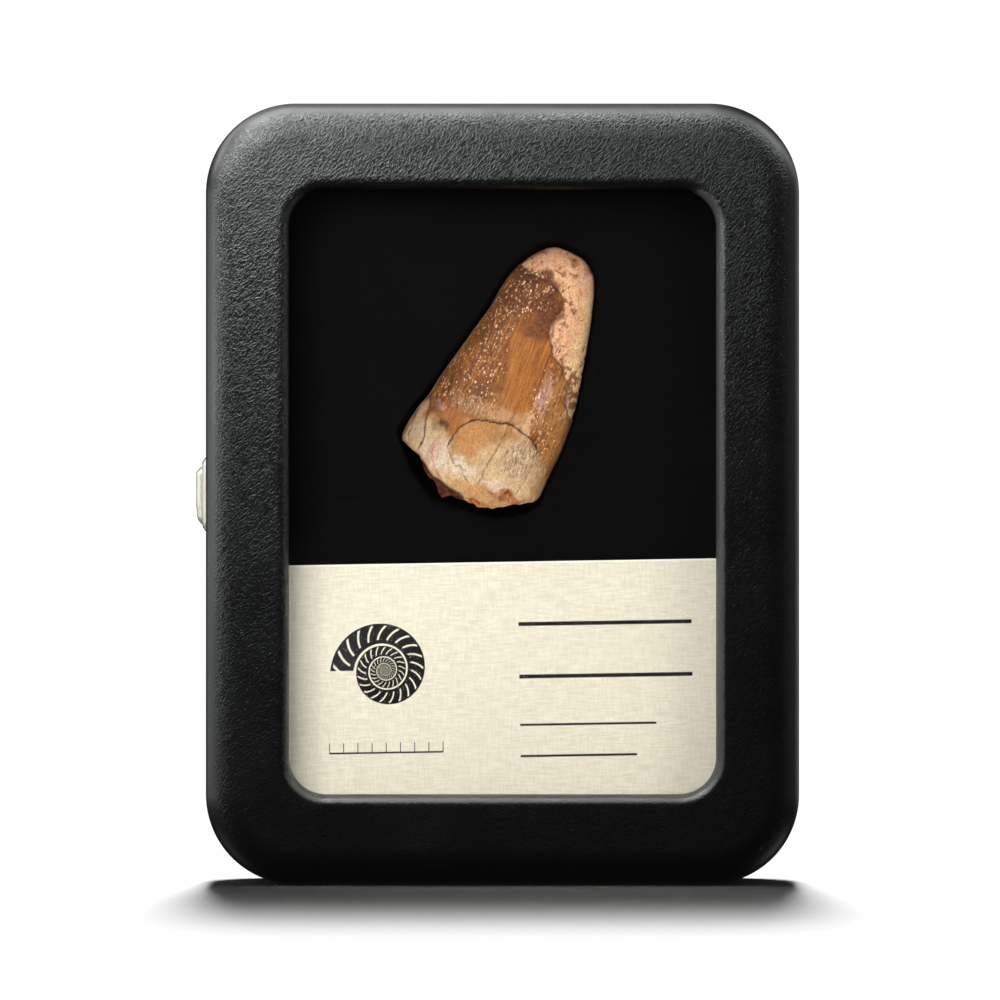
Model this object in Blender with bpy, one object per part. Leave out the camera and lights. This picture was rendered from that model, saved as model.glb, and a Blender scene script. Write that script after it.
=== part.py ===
"""Display case with a window, holding a fossil crocodile tooth and a card on a foam pad.

Metres, +Z up. The case stands on its short side with its window facing -Y. The origin is on the
floor, halfway along the case's width and depth. The lid turns about an upright pin on the right.
"""

import math

import bmesh
import bpy
import numpy as np
from mathutils import Matrix, Vector

MM = 0.001
GAP = 0.3 * MM

# The case
CASE_WIDTH = 83.2 * MM
CASE_HEIGHT = 109.5 * MM
CASE_DEPTH = 28.0 * MM
CASE_CORNER = 12.6 * MM
CORNER_STEPS = 7
WALL = 1.6 * MM
SEAM_Y = -3.0 * MM
SEAM_EDGE = 0.8 * MM
BACK_EDGE = 4.0 * MM
FRONT_EDGE = 5.0 * MM
FRONT_EDGE_DEPTH = 4.2 * MM

# The window in the lid, inside its rolled edge, and the pane behind it
WINDOW_WIDTH = 59.8 * MM
WINDOW_HEIGHT = 84.6 * MM
WINDOW_CORNER = 5.2 * MM
WINDOW_MID_Z = 55.0 * MM
ROLL = 1.5 * MM
ROLL_DEPTH = 2.0 * MM
LIP = 0.8 * MM
PANE_MARGIN = 3.2 * MM
PANE_THICKNESS = 1.3 * MM

# The foam and the card
FOAM_FACE_Y = -3.6 * MM
CARD_WIDTH = 64.0 * MM
CARD_HEIGHT = 36.0 * MM
CARD_THICKNESS = 0.35 * MM
CARD_TOP_Z = 45.3 * MM
CARD_TILT = math.radians(0.67)

# The hinge on the right wall
HINGE_INSET = 1.3 * MM
HINGE_LENGTH = 40.0 * MM
KNUCKLES = 5
KNUCKLE_RADIUS = 1.2 * MM
BORE_RADIUS = 0.75 * MM
PIN_RADIUS = 0.55 * MM
LEAF_THICKNESS = 0.6 * MM
LEAF_REACH = 6.0 * MM
HINGE_EDGE = 2.2 * MM
GROOVE_INSET = CASE_CORNER / 3

# The push clasp on the left wall
CLASP_Y = 1.8 * MM
CLASP_Z = 54.7 * MM
BEZEL_LENGTH = 10.7 * MM
BEZEL_WIDTH = 6.0 * MM
BEZEL_CORNER = 1.5 * MM
BEZEL_PROUD = 1.05 * MM
BEZEL_SUNK = 0.3 * MM
BEZEL_EDGE = 0.25 * MM
BUTTON_LENGTH = 8.2 * MM
BUTTON_WIDTH = 3.6 * MM
BUTTON_CORNER = 1.2 * MM
BUTTON_PROUD = 1.75 * MM
BUTTON_EDGE = 0.3 * MM
BUTTON_TRAVEL = 0.6 * MM
FLANGE_MARGIN = 1.0 * MM
FLANGE_THICKNESS = 0.6 * MM
CATCH_WIDTH = 7.0 * MM
CATCH_THICKNESS = 0.6 * MM
CATCH_REACH = 4.8 * MM
NOTCH_MARGIN = 0.6 * MM

# Where the tooth lies: its tip, the depth of its middle, the lean of its axis, and its pocket
TIP_X = 7.5 * MM
TIP_Z = 89.2 * MM
TOOTH_MID_Y = -1.9 * MM
TOOTH_LEAN = math.radians(19.7)
POCKET_DEPTH = 7.5
POCKET_MARGIN = 0.5
POCKET_RIM = 1.0
TOOTH_ROWS = 44
TOOTH_COLUMNS = 52
CAP_ROWS = 4

# The tooth's form in millimetres: v runs from the worn tip down to the broken base, u across it
TIP_U = 0.95
TIP_V = -0.45
TIP_SETBACK = 1.2
SETBACK_END = 20.0
LEFT_SIDE = (
    (-0.45, 0.9), (-0.1, -0.5), (0.5, -1.4), (2.2, -2.9), (3.9, -3.9), (5.9, -4.7), (8.0, -5.2),
    (10.5, -5.6), (13.6, -6.5), (17.1, -7.5), (21.6, -8.8), (25.2, -9.8), (27.7, -10.9), (31.6, -11.6),
    (40.0, -11.8),
)
RIGHT_SIDE = (
    (-0.45, 1.0), (-0.3, 2.4), (-0.1, 3.6), (0.6, 5.0), (1.9, 6.3), (3.9, 7.0), (8.7, 8.1),
    (15.6, 9.3), (21.0, 10.0), (25.8, 10.0), (31.2, 9.5), (40.0, 8.9),
)
HALF_THICKNESS = (
    (-0.45, 0.0), (0.0, 1.6), (1.0, 3.0), (3.0, 4.2), (6.0, 5.0), (12.0, 5.8), (20.0, 6.6),
    (28.0, 7.0), (34.0, 6.7), (40.0, 6.4),
)
BROKEN_EDGE = (
    (-11.6, 31.4), (-9.3, 33.2), (-7.5, 35.1), (-5.6, 36.2), (-4.2, 37.6), (-2.6, 36.6), (-1.0, 37.1),
    (0.7, 37.4), (2.3, 36.9), (4.2, 37.2), (6.4, 36.2), (8.2, 34.8), (9.5, 34.0),
)
FLAKED_EDGE = (
    (-0.45, -5.0), (3.0, -4.8), (4.1, -3.4), (4.6, -0.9), (4.9, 1.2), (5.7, 2.7), (7.4, 3.4),
    (9.7, 2.9), (13.8, 4.5), (15.1, 5.9), (16.4, 7.0), (18.6, 8.2), (21.2, 9.2), (22.4, 11.5), (40.0, 13.0),
)
FLAKE_DEPTH = 0.45
ARCH_MID = (1.5, 31.6)
ARCH_RADIUS = 6.1
ARCH_STEP = 0.3
STEP_BLEND = 0.5
FLUTES = 13
FLUTE_DEPTH = 0.12
FLUTES_GROW = (3.0, 9.0)
FLUTES_FADE = (24.0, 34.0)
FLANK_SHARE = 0.4
ENAMEL_EDGE = (
    (-11.8, 31.6), (-9.1, 33.2), (-5.9, 34.8), (-4.3, 35.7), (-2.2, 36.2), (0.7, 37.6), (10.0, 39.0),
)
CORE_STEP = 1.2
CORE_LUMPS = 0.25
CORE_WAVES = (2.6, 2.1)
BREAK_HALF_WIDTH = 10.55
BACK_BREAK = 1.4
BACK_WAVE = 0.5
HOLLOW_DEPTH = 2.6
HOLLOW_LUMPS = 0.35
POCKET_BASE = ((9.5, 34.2), (8.4, 35.6), (4.4, 37.7), (-4.2, 38.2), (-7.9, 35.6))
ROW_SPREAD = 0.8

# Worked out from the sizes above
BACK_Y = CASE_DEPTH / 2
FRONT_Y = -CASE_DEPTH / 2
FLOOR_Y = BACK_Y - WALL
LIP_Y = FRONT_Y + ROLL_DEPTH
PLATE_Y = LIP_Y + LIP
LEFT_X = -CASE_WIDTH / 2
RIGHT_X = CASE_WIDTH / 2
MID_Z = CASE_HEIGHT / 2
HINGE_X = RIGHT_X - HINGE_INSET
HINGE_LOW = MID_Z - HINGE_LENGTH / 2
HINGE_HIGH = MID_Z + HINGE_LENGTH / 2


def clear_scene():
    for item in list(bpy.data.objects):
        bpy.data.objects.remove(item, do_unlink=True)


def material(name, color, roughness, metallic=0.0, alpha=1.0):
    made = bpy.data.materials.new(name)
    made.use_nodes = True
    shader = made.node_tree.nodes["Principled BSDF"]
    shader.inputs["Base Color"].default_value = (*color, 1.0)
    shader.inputs["Roughness"].default_value = roughness
    shader.inputs["Metallic"].default_value = metallic
    shader.inputs["Alpha"].default_value = alpha
    return made


# Building blocks


def new_object(name, points, faces, surface=None, smooth_angle=35):
    """An object from points and faces, with its faces turned outwards."""
    mesh = bpy.data.meshes.new(name)
    mesh.from_pydata([tuple(p) for p in points], [], faces)
    shape = bmesh.new()
    shape.from_mesh(mesh)
    bmesh.ops.recalc_face_normals(shape, faces=shape.faces)
    shape.to_mesh(mesh)
    shape.free()
    mesh.shade_smooth()
    mesh.set_sharp_from_angle(angle=math.radians(smooth_angle))
    if surface:
        mesh.materials.append(surface)
    made = bpy.data.objects.new(name, mesh)
    bpy.context.collection.objects.link(made)
    return made


def set_origin(item, pivot):
    """Moves an object's origin to a point and leaves its shape in place."""
    item.data.transform(Matrix.Translation(-Vector(pivot)))
    item.location = pivot


def apply_tool(item, tool, operation="DIFFERENCE"):
    """Cuts an object by a tool shape, or joins the tool shape to it, and hides the tool."""
    step = item.modifiers.new(tool.name, "BOOLEAN")
    step.operation = operation
    step.solver = "EXACT"
    step.object = tool
    tool.hide_render = True
    tool.display_type = "WIRE"


def side_faces(rows, count, closed):
    faces = []
    for row in range(rows if closed else rows - 1):
        after = (row + 1) % rows
        for i in range(count):
            j = (i + 1) % count
            faces.append((row * count + i, row * count + j, after * count + j, after * count + i))
    return faces


def loft(name, rings, surface=None):
    """A solid through rings of equal length, with a flat face on the first and on the last."""
    count = len(rings[0])
    last = (len(rings) - 1) * count
    faces = side_faces(len(rings), count, closed=False)
    faces.append(tuple(range(count)))
    faces.append(tuple(range(last, last + count)))
    return new_object(name, [p for ring in rings for p in ring], faces, surface)


def frame_loft(name, rings, surface=None):
    """A solid through rings whose last joins the first, as a section swept round a frame."""
    faces = side_faces(len(rings), len(rings[0]), closed=True)
    return new_object(name, [p for ring in rings for p in ring], faces, surface)


def box(name, low, high, surface=None):
    """A box between two corners."""
    outline = [(low[0], low[1]), (high[0], low[1]), (high[0], high[1]), (low[0], high[1])]
    return upright_prism(name, outline, low[2], high[2], surface)


def upright_prism(name, section, z_low, z_high, surface=None):
    """A solid of one section in x and y, from z_low up to z_high."""
    return loft(name, [[(x, y, z) for x, y in section] for z in (z_low, z_high)], surface)


def rounded_rectangle(width, height, radius, steps):
    """Points round a rectangle with round corners, centred on zero."""
    points = []
    for side_a, side_b, start in ((1, 1, 0), (-1, 1, 90), (-1, -1, 180), (1, -1, 270)):
        mid_a = side_a * (width / 2 - radius)
        mid_b = side_b * (height / 2 - radius)
        for k in range(steps + 1):
            angle = math.radians(start + 90 * k / steps)
            points.append((mid_a + radius * math.cos(angle), mid_b + radius * math.sin(angle)))
    return points


def circle(radius, mid_x, mid_y, sides=20):
    turns = [math.tau * k / sides for k in range(sides)]
    return [(mid_x + radius * math.cos(t), mid_y + radius * math.sin(t)) for t in turns]


def quarter(steps):
    """Pairs that go round a quarter turn, from (0, 0) to (1, 1), and leave along the second one."""
    turns = [math.pi / 2 * k / steps for k in range(steps + 1)]
    return [(1 - math.cos(t), math.sin(t)) for t in turns]


# The case


def case_ring(inset, y):
    """The case's outline moved inwards by inset, at depth y."""
    outline = rounded_rectangle(
        CASE_WIDTH - 2 * inset, CASE_HEIGHT - 2 * inset, CASE_CORNER - inset, CORNER_STEPS
    )
    return [(x, y, z + MID_Z) for x, z in outline]


def window_ring(outset, y):
    """The window's outline moved outwards by outset, at depth y."""
    outline = rounded_rectangle(
        WINDOW_WIDTH + 2 * outset, WINDOW_HEIGHT + 2 * outset, WINDOW_CORNER + outset, CORNER_STEPS
    )
    return [(x, y, z + WINDOW_MID_Z) for x, z in outline]


def hinge_groove(name):
    """The room between the round edges on the hinge side, which lets the lid roll open past the tray."""
    section = []
    for inward, off in quarter(6):
        section.append((RIGHT_X - HINGE_EDGE * inward, SEAM_Y - GAP / 2 - HINGE_EDGE * (1 - off)))
    for inward, off in reversed(quarter(6)):
        section.append((RIGHT_X - HINGE_EDGE * inward, SEAM_Y + GAP / 2 + HINGE_EDGE * (1 - off)))
    outside = RIGHT_X + HINGE_EDGE
    section.append((outside, SEAM_Y + GAP / 2 + HINGE_EDGE))
    section.append((outside, SEAM_Y - GAP / 2 - HINGE_EDGE))
    return upright_prism(name, section, GROOVE_INSET, CASE_HEIGHT - GROOVE_INSET)


def barrel_room(name):
    outline = circle(KNUCKLE_RADIUS + GAP, HINGE_X, SEAM_Y)
    return upright_prism(name, outline, HINGE_LOW - GAP, HINGE_HIGH + GAP)


def clasp_ring(length, width, corner, margin, x):
    """A rounded rectangle on the left wall, about the clasp's middle, at x."""
    outline = rounded_rectangle(width + 2 * margin, length + 2 * margin, corner + margin, 4)
    return [(x, y + CLASP_Y, z + CLASP_Z) for y, z in outline]


def make_case_base(surface):
    rings = [case_ring(WALL, FLOOR_Y), case_ring(WALL, SEAM_Y + GAP / 2)]
    for inward, off in reversed(quarter(2)):
        rings.append(case_ring(SEAM_EDGE * inward, SEAM_Y + GAP / 2 + SEAM_EDGE * (1 - off)))
    for inward, off in quarter(4):
        rings.append(case_ring(BACK_EDGE * inward, BACK_Y - BACK_EDGE * (1 - off)))
    base = loft("case_base", rings, surface)
    apply_tool(base, hinge_groove("base_hinge_groove"))
    apply_tool(base, barrel_room("base_barrel_room"))

    outside = LEFT_X - BUTTON_PROUD
    recess = [clasp_ring(BEZEL_LENGTH, BEZEL_WIDTH, BEZEL_CORNER, GAP, x)
              for x in (outside, LEFT_X + BEZEL_SUNK + GAP)]
    hole = [clasp_ring(BUTTON_LENGTH, BUTTON_WIDTH, BUTTON_CORNER, GAP, x)
            for x in (outside, LEFT_X + 2 * WALL)]
    apply_tool(base, loft("bezel_recess", recess))
    apply_tool(base, loft("button_hole", hole))
    return base


def make_case_lid(surface):
    """The lid's section swept round: lip, rolled edge, front, outer edge, wall, rim, inside."""
    rings = [window_ring(0, PLATE_Y)]
    for outset, off in quarter(4):
        rings.append(window_ring(ROLL * outset, LIP_Y - ROLL_DEPTH * off))
    for inward, off in reversed(quarter(5)):
        rings.append(case_ring(FRONT_EDGE * inward, FRONT_Y + FRONT_EDGE_DEPTH * (1 - off)))
    for inward, off in quarter(2):
        rings.append(case_ring(SEAM_EDGE * inward, SEAM_Y - GAP / 2 - SEAM_EDGE * (1 - off)))
    rings.append(case_ring(WALL, SEAM_Y - GAP / 2))
    rings.append(case_ring(WALL, PLATE_Y))
    lid = frame_loft("case_lid", rings, surface)
    apply_tool(lid, hinge_groove("lid_hinge_groove"))
    apply_tool(lid, barrel_room("lid_barrel_room"))
    return lid


def make_window_pane(surface):
    front = PLATE_Y + GAP
    rings = [window_ring(PANE_MARGIN, y) for y in (front, front + PANE_THICKNESS)]
    return loft("window_pane", rings, surface)


# The hinge


def leaf_section(side):
    """One knuckle with its tab in x and y. The tab leaves the barrel on the inner side, towards +Y or -Y."""
    start = math.degrees(math.acos((KNUCKLE_RADIUS - LEAF_THICKNESS) / KNUCKLE_RADIUS))
    steps = 18
    section = []
    for k in range(steps + 1):
        angle = math.radians(start + (360 - start) * k / steps)
        section.append(
            (HINGE_X - KNUCKLE_RADIUS * math.cos(angle), SEAM_Y + side * KNUCKLE_RADIUS * math.sin(angle))
        )
    tab_end = SEAM_Y + side * (KNUCKLE_RADIUS + 2 * LEAF_THICKNESS)
    section.append((HINGE_X - KNUCKLE_RADIUS, tab_end))
    section.append((HINGE_X - KNUCKLE_RADIUS + LEAF_THICKNESS, tab_end))
    return section


def make_hinge_leaf(name, side, first_knuckle, surface):
    """A strip on the inside of one wall, joined to every second knuckle of the barrel."""
    near = SEAM_Y + side * (KNUCKLE_RADIUS + GAP)
    far = SEAM_Y + side * LEAF_REACH
    leaf = box(
        name,
        (HINGE_X - KNUCKLE_RADIUS, min(near, far), HINGE_LOW),
        (HINGE_X - KNUCKLE_RADIUS + LEAF_THICKNESS, max(near, far), HINGE_HIGH),
        surface,
    )
    length = HINGE_LENGTH / KNUCKLES
    for k in range(first_knuckle, KNUCKLES, 2):
        low = HINGE_LOW + length * k + GAP / 2
        knuckle = upright_prism(f"{name}_knuckle_{k}", leaf_section(side), low, low + length - GAP)
        apply_tool(leaf, knuckle, "UNION")
    bore = upright_prism(
        f"{name}_bore", circle(BORE_RADIUS, HINGE_X, SEAM_Y, 16), HINGE_LOW - GAP, HINGE_HIGH + GAP
    )
    apply_tool(leaf, bore)
    return leaf


def make_hinge_pin(surface):
    rings = []
    for z, radius in ((HINGE_LOW, 0.7), (HINGE_LOW + GAP, 1.0), (HINGE_HIGH - GAP, 1.0), (HINGE_HIGH, 0.7)):
        rings.append([(x, y, z) for x, y in circle(PIN_RADIUS * radius, HINGE_X, SEAM_Y, 16)])
    return loft("hinge_pin", rings, surface)


# The clasp


def make_clasp_bezel(surface):
    outer_x = LEFT_X - BEZEL_PROUD
    inner_x = LEFT_X + BEZEL_SUNK
    bezel = (BEZEL_LENGTH, BEZEL_WIDTH, BEZEL_CORNER)
    hole = (BUTTON_LENGTH, BUTTON_WIDTH, BUTTON_CORNER)
    return frame_loft(
        "clasp_bezel",
        [
            clasp_ring(*bezel, 0, inner_x),
            clasp_ring(*bezel, 0, outer_x + BEZEL_EDGE),
            clasp_ring(*bezel, -BEZEL_EDGE, outer_x),
            clasp_ring(*hole, GAP, outer_x),
            clasp_ring(*hole, GAP, inner_x),
        ],
        surface,
    )


def make_clasp_button(surface):
    """A button with a slightly rounded face and a flange behind the wall that keeps it in."""
    face_x = LEFT_X - BUTTON_PROUD
    flange_x = LEFT_X + WALL + GAP
    stem = (BUTTON_LENGTH, BUTTON_WIDTH, BUTTON_CORNER)
    rings = [
        clasp_ring(*stem, -3 * BUTTON_EDGE, face_x),
        clasp_ring(*stem, -BUTTON_EDGE, face_x + BUTTON_EDGE / 4),
        clasp_ring(*stem, 0, face_x + BUTTON_EDGE),
        clasp_ring(*stem, 0, flange_x),
        clasp_ring(*stem, FLANGE_MARGIN, flange_x),
        clasp_ring(*stem, FLANGE_MARGIN, flange_x + FLANGE_THICKNESS),
    ]
    button = loft("clasp_button", rings, surface)
    set_origin(button, (face_x, CLASP_Y, CLASP_Z))
    return button


def make_clasp_catch(surface):
    """A spring tongue on the lid's left wall that steps inwards to pass behind the button."""
    wall_x = LEFT_X + WALL + GAP
    tongue_x = wall_x + FLANGE_THICKNESS + BUTTON_TRAVEL + GAP
    top_y = PLATE_Y + 2 * GAP
    bend_y = SEAM_Y - GAP
    end_y = SEAM_Y + CATCH_REACH
    bend = tongue_x - wall_x
    section = [
        (wall_x, top_y),
        (wall_x + CATCH_THICKNESS, top_y),
        (wall_x + CATCH_THICKNESS, bend_y - CATCH_THICKNESS / 3),
        (tongue_x + CATCH_THICKNESS, bend_y + bend - CATCH_THICKNESS / 3),
        (tongue_x + CATCH_THICKNESS, end_y),
        (tongue_x, end_y),
        (tongue_x, bend_y + bend),
        (wall_x, bend_y),
    ]
    return upright_prism(
        "clasp_catch", section, CLASP_Z - CATCH_WIDTH / 2, CLASP_Z + CATCH_WIDTH / 2, surface
    )


# The tooth


def smooth_line(points, at):
    """Heights of a smooth line through points that are sorted by their first number, without overshoot."""
    x, y = np.array(points, dtype=float).T
    slope = np.diff(y) / np.diff(x)
    same_way = slope[:-1] * slope[1:] > 0
    safe_sum = np.where(same_way, slope[:-1] + slope[1:], 1.0)
    inner = np.where(same_way, 2 * slope[:-1] * slope[1:] / safe_sum, 0.0)
    tangent = np.concatenate([slope[:1], inner, slope[-1:]])
    at = np.clip(at, x[0], x[-1])
    k = np.clip(np.searchsorted(x, at) - 1, 0, len(x) - 2)
    width = x[k + 1] - x[k]
    t = (at - x[k]) / width
    rise = y[k] * (1 + 2 * t) * (1 - t) ** 2 + y[k + 1] * t * t * (3 - 2 * t)
    return rise + width * (tangent[k] * t * (1 - t) ** 2 - tangent[k + 1] * t * t * (1 - t))


def along_tooth(points, v):
    """smooth_line by the root of the distance from the tip, so that the tip comes out round."""
    by_root = [(math.sqrt(place - TIP_V), value) for place, value in points]
    return smooth_line(by_root, np.sqrt(np.maximum(v - TIP_V, 0.0)))


def step_up(value, low, high):
    """0 below low, 1 above high and a soft step between."""
    t = np.clip((value - low) / (high - low), 0.0, 1.0)
    return t * t * (3 - 2 * t)


def tooth_surface(v, angle):
    """Points of the tooth's side as u, depth and v. Depth is 0 at the middle and below 0 at the front."""
    left = along_tooth(LEFT_SIDE, v)
    right = along_tooth(RIGHT_SIDE, v)
    thick = along_tooth(HALF_THICKNESS, v)
    across = np.cos(angle)
    out = -np.sin(angle)
    u = (left + right) / 2 + (right - left) / 2 * across

    fluted = step_up(v, *FLUTES_GROW) * (1 - step_up(v, *FLUTES_FADE))
    relief = FLUTE_DEPTH * np.cos(FLUTES * angle) * fluted
    relief = relief - FLAKE_DEPTH * step_up(u - along_tooth(FLAKED_EDGE, v), 0.0, STEP_BLEND)
    front = step_up(-out, 0.0, 0.3)
    from_arch = ARCH_RADIUS - np.hypot(u - ARCH_MID[0], v - ARCH_MID[1])
    relief = relief - ARCH_STEP * step_up(from_arch, 0.0, STEP_BLEND) * front
    core = step_up(v - smooth_line(ENAMEL_EDGE, u), 0.0, STEP_BLEND) * front
    lumps = np.sin(CORE_WAVES[0] * u) * np.cos(CORE_WAVES[1] * v)
    relief = relief - core * (CORE_STEP + CORE_LUMPS * lumps)

    inwards = step_up(thick, 0.0, 3.0) * relief
    u = u + inwards * across * FLANK_SHARE
    setback = TIP_SETBACK * np.maximum(1 - v / SETBACK_END, 0.0) ** 2
    return u, (thick + inwards) * out + setback, v


def broken_end(angle):
    """How far down the side runs before the break, at each angle round the tooth."""
    u = (LEFT_SIDE[-2][1] + RIGHT_SIDE[-2][1]) / 2 + BREAK_HALF_WIDTH * np.cos(angle)
    front = smooth_line(BROKEN_EDGE, u)
    back = front - BACK_BREAK + BACK_WAVE * np.sin(1.5 * u)
    share = step_up(np.sin(angle), -0.3, 0.3)
    return front * share + back * (1 - share)


def place_tooth(u, depth, v):
    """From the tooth's own millimetres to the case."""
    lean_cos, lean_sin = math.cos(TOOTH_LEAN), math.sin(TOOTH_LEAN)
    x = TIP_X + (u * lean_cos - v * lean_sin) * MM
    y = TOOTH_MID_Y + depth * MM
    z = TIP_Z - (u * lean_sin + v * lean_cos) * MM
    return np.stack([x, y, z], axis=-1)


def make_fossil_tooth(surface):
    """A worn cone with a flaked flank and tip, shallow flutes, a chipped base and a hollow broken end."""
    angle = np.arange(TOOTH_COLUMNS) * math.tau / TOOTH_COLUMNS
    end = broken_end(angle)
    turn = ROW_SPREAD * math.pi / 2
    rows = []
    for k in range(1, TOOTH_ROWS + 1):
        share = (math.sin(turn * k / TOOTH_ROWS) / math.sin(turn)) ** 2
        u, depth, v = tooth_surface(TIP_V + (end - TIP_V) * share, angle)
        rows.append(place_tooth(u, depth, v))

    rim_u, rim_depth, rim_v = tooth_surface(end, angle)
    mid_u, mid_depth, mid_v = rim_u.mean(), rim_depth.mean(), rim_v.mean()
    for k in range(1, CAP_ROWS + 1):
        share = 1 - k / (CAP_ROWS + 1)
        lumps = HOLLOW_LUMPS * np.sin(5 * angle + 2 * k) * share
        sunk = mid_v - HOLLOW_DEPTH * (1 - share**2) + lumps
        v = rim_v * share**2 + sunk * (1 - share**2)
        u = mid_u + (rim_u - mid_u) * share
        depth = mid_depth + (rim_depth - mid_depth) * share
        rows.append(place_tooth(u, depth, v))

    points = [tuple(place_tooth(TIP_U, TIP_SETBACK, TIP_V))]
    for row in rows:
        points.extend(tuple(p) for p in row)
    points.append(tuple(place_tooth(mid_u, mid_depth, mid_v - HOLLOW_DEPTH)))

    count = TOOTH_COLUMNS
    faces = [tuple(1 + i for i in face) for face in side_faces(len(rows), count, closed=False)]
    last = len(points) - 1
    for i in range(count):
        j = (i + 1) % count
        faces.append((0, 1 + j, 1 + i))
        faces.append((last, last - count + i, last - count + j))
    return new_object("fossil_tooth", points, faces, surface)


def pocket_outline():
    """The pocket that is cut in the foam round the tooth, in the tooth's own millimetres."""
    sides = [v for v, _ in LEFT_SIDE[1:-1]]
    left = [(along_tooth(LEFT_SIDE, v), v) for v in reversed(sides)]
    right = [(along_tooth(RIGHT_SIDE, v), v) for v in sides]
    tip = [(TIP_U, TIP_V)]
    outline = [np.array(p, dtype=float) for p in left + tip + right + list(POCKET_BASE)]
    grown = []
    for k, point in enumerate(outline):
        run = outline[(k + 1) % len(outline)] - outline[k - 1]
        normal = np.array([run[1], -run[0]]) / np.hypot(*run)
        grown.append(point + POCKET_MARGIN * normal)
    return grown


def make_foam_pad(surface):
    inset = WALL + GAP
    pad = loft("foam_pad", [case_ring(inset, y) for y in (FOAM_FACE_Y, FLOOR_Y - GAP)], surface)

    depths = ((FOAM_FACE_Y - TOOTH_MID_Y) / MM - POCKET_RIM, POCKET_DEPTH)
    rings = [[tuple(place_tooth(u, depth, v)) for u, v in pocket_outline()] for depth in depths]
    apply_tool(pad, loft("tooth_pocket", rings))

    above = FOAM_FACE_Y - WALL
    leaf_room = box(
        "leaf_room",
        (HINGE_X - KNUCKLE_RADIUS - GAP, above, HINGE_LOW - GAP),
        (RIGHT_X, SEAM_Y + LEAF_REACH + GAP, HINGE_HIGH + GAP),
    )
    apply_tool(pad, leaf_room)

    flange_y = BUTTON_WIDTH / 2 + FLANGE_MARGIN + NOTCH_MARGIN
    flange_z = BUTTON_LENGTH / 2 + FLANGE_MARGIN + NOTCH_MARGIN
    tongue_x = LEFT_X + WALL + 2 * GAP + FLANGE_THICKNESS + BUTTON_TRAVEL + CATCH_THICKNESS
    clasp_room = box(
        "clasp_room",
        (LEFT_X, above, CLASP_Z - flange_z),
        (tongue_x + NOTCH_MARGIN, CLASP_Y + flange_y, CLASP_Z + flange_z),
    )
    apply_tool(pad, clasp_room)
    pad.data.shade_flat()
    return pad


def make_label_card(surface):
    half = (CARD_WIDTH / 2, CARD_THICKNESS / 2, CARD_HEIGHT / 2)
    card = box("label_card", tuple(-h for h in half), half, surface)
    card.location = (0, FOAM_FACE_Y - GAP - half[1], CARD_TOP_Z - half[2])
    card.rotation_euler = (0, -CARD_TILT, 0)
    return card


def main():
    clear_scene()
    leatherette = material("leatherette", (0.03, 0.033, 0.033), 0.45)
    clear = material("clear_pane", (0.95, 0.97, 0.97), 0.02, alpha=0.15)
    foam = material("black_foam", (0.006, 0.006, 0.006), 0.95)
    card = material("cream_card", (0.83, 0.79, 0.68), 0.85)
    fossil = material("fossil_enamel", (0.42, 0.24, 0.11), 0.3)
    nickel = material("nickel", (0.75, 0.75, 0.74), 0.2, metallic=1.0)
    steel = material("dark_steel", (0.2, 0.2, 0.2), 0.4, metallic=1.0)

    make_case_base(leatherette)
    make_foam_pad(foam)
    make_label_card(card)
    make_fossil_tooth(fossil)
    make_clasp_bezel(nickel)
    make_clasp_button(nickel)
    make_hinge_leaf("hinge_base_leaf", 1, 0, steel)
    make_hinge_pin(steel)

    on_the_lid = [
        make_case_lid(leatherette),
        make_window_pane(clear),
        make_clasp_catch(steel),
        make_hinge_leaf("hinge_lid_leaf", -1, 1, steel),
    ]
    for piece in on_the_lid:
        set_origin(piece, (HINGE_X, SEAM_Y, MID_Z))


main()
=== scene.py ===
"""The looks of the windowed display case and its fossil tooth, with a floor, light and a camera.

Metres, +Z up, and the window faces -Y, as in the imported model. The tooth's own form is in millimetres.
Every made piece carries an attribute, place, with its own millimetres for the grain of its material.
"""

import itertools
import math

import bmesh
import bpy
import numpy as np
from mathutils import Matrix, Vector


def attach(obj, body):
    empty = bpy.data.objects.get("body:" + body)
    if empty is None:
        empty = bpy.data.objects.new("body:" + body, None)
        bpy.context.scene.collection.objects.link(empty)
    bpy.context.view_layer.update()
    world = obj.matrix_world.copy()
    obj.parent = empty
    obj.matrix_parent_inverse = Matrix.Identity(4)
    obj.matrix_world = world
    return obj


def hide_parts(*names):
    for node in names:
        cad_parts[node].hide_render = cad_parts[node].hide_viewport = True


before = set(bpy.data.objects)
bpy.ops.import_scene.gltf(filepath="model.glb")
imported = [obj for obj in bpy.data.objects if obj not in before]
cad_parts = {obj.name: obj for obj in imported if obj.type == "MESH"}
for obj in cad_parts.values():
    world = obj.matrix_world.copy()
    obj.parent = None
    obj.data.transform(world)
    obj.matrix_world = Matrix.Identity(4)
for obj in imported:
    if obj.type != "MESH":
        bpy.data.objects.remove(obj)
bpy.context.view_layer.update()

MM = 0.001
CM = 0.01
GAP = 0.3 * MM

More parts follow.
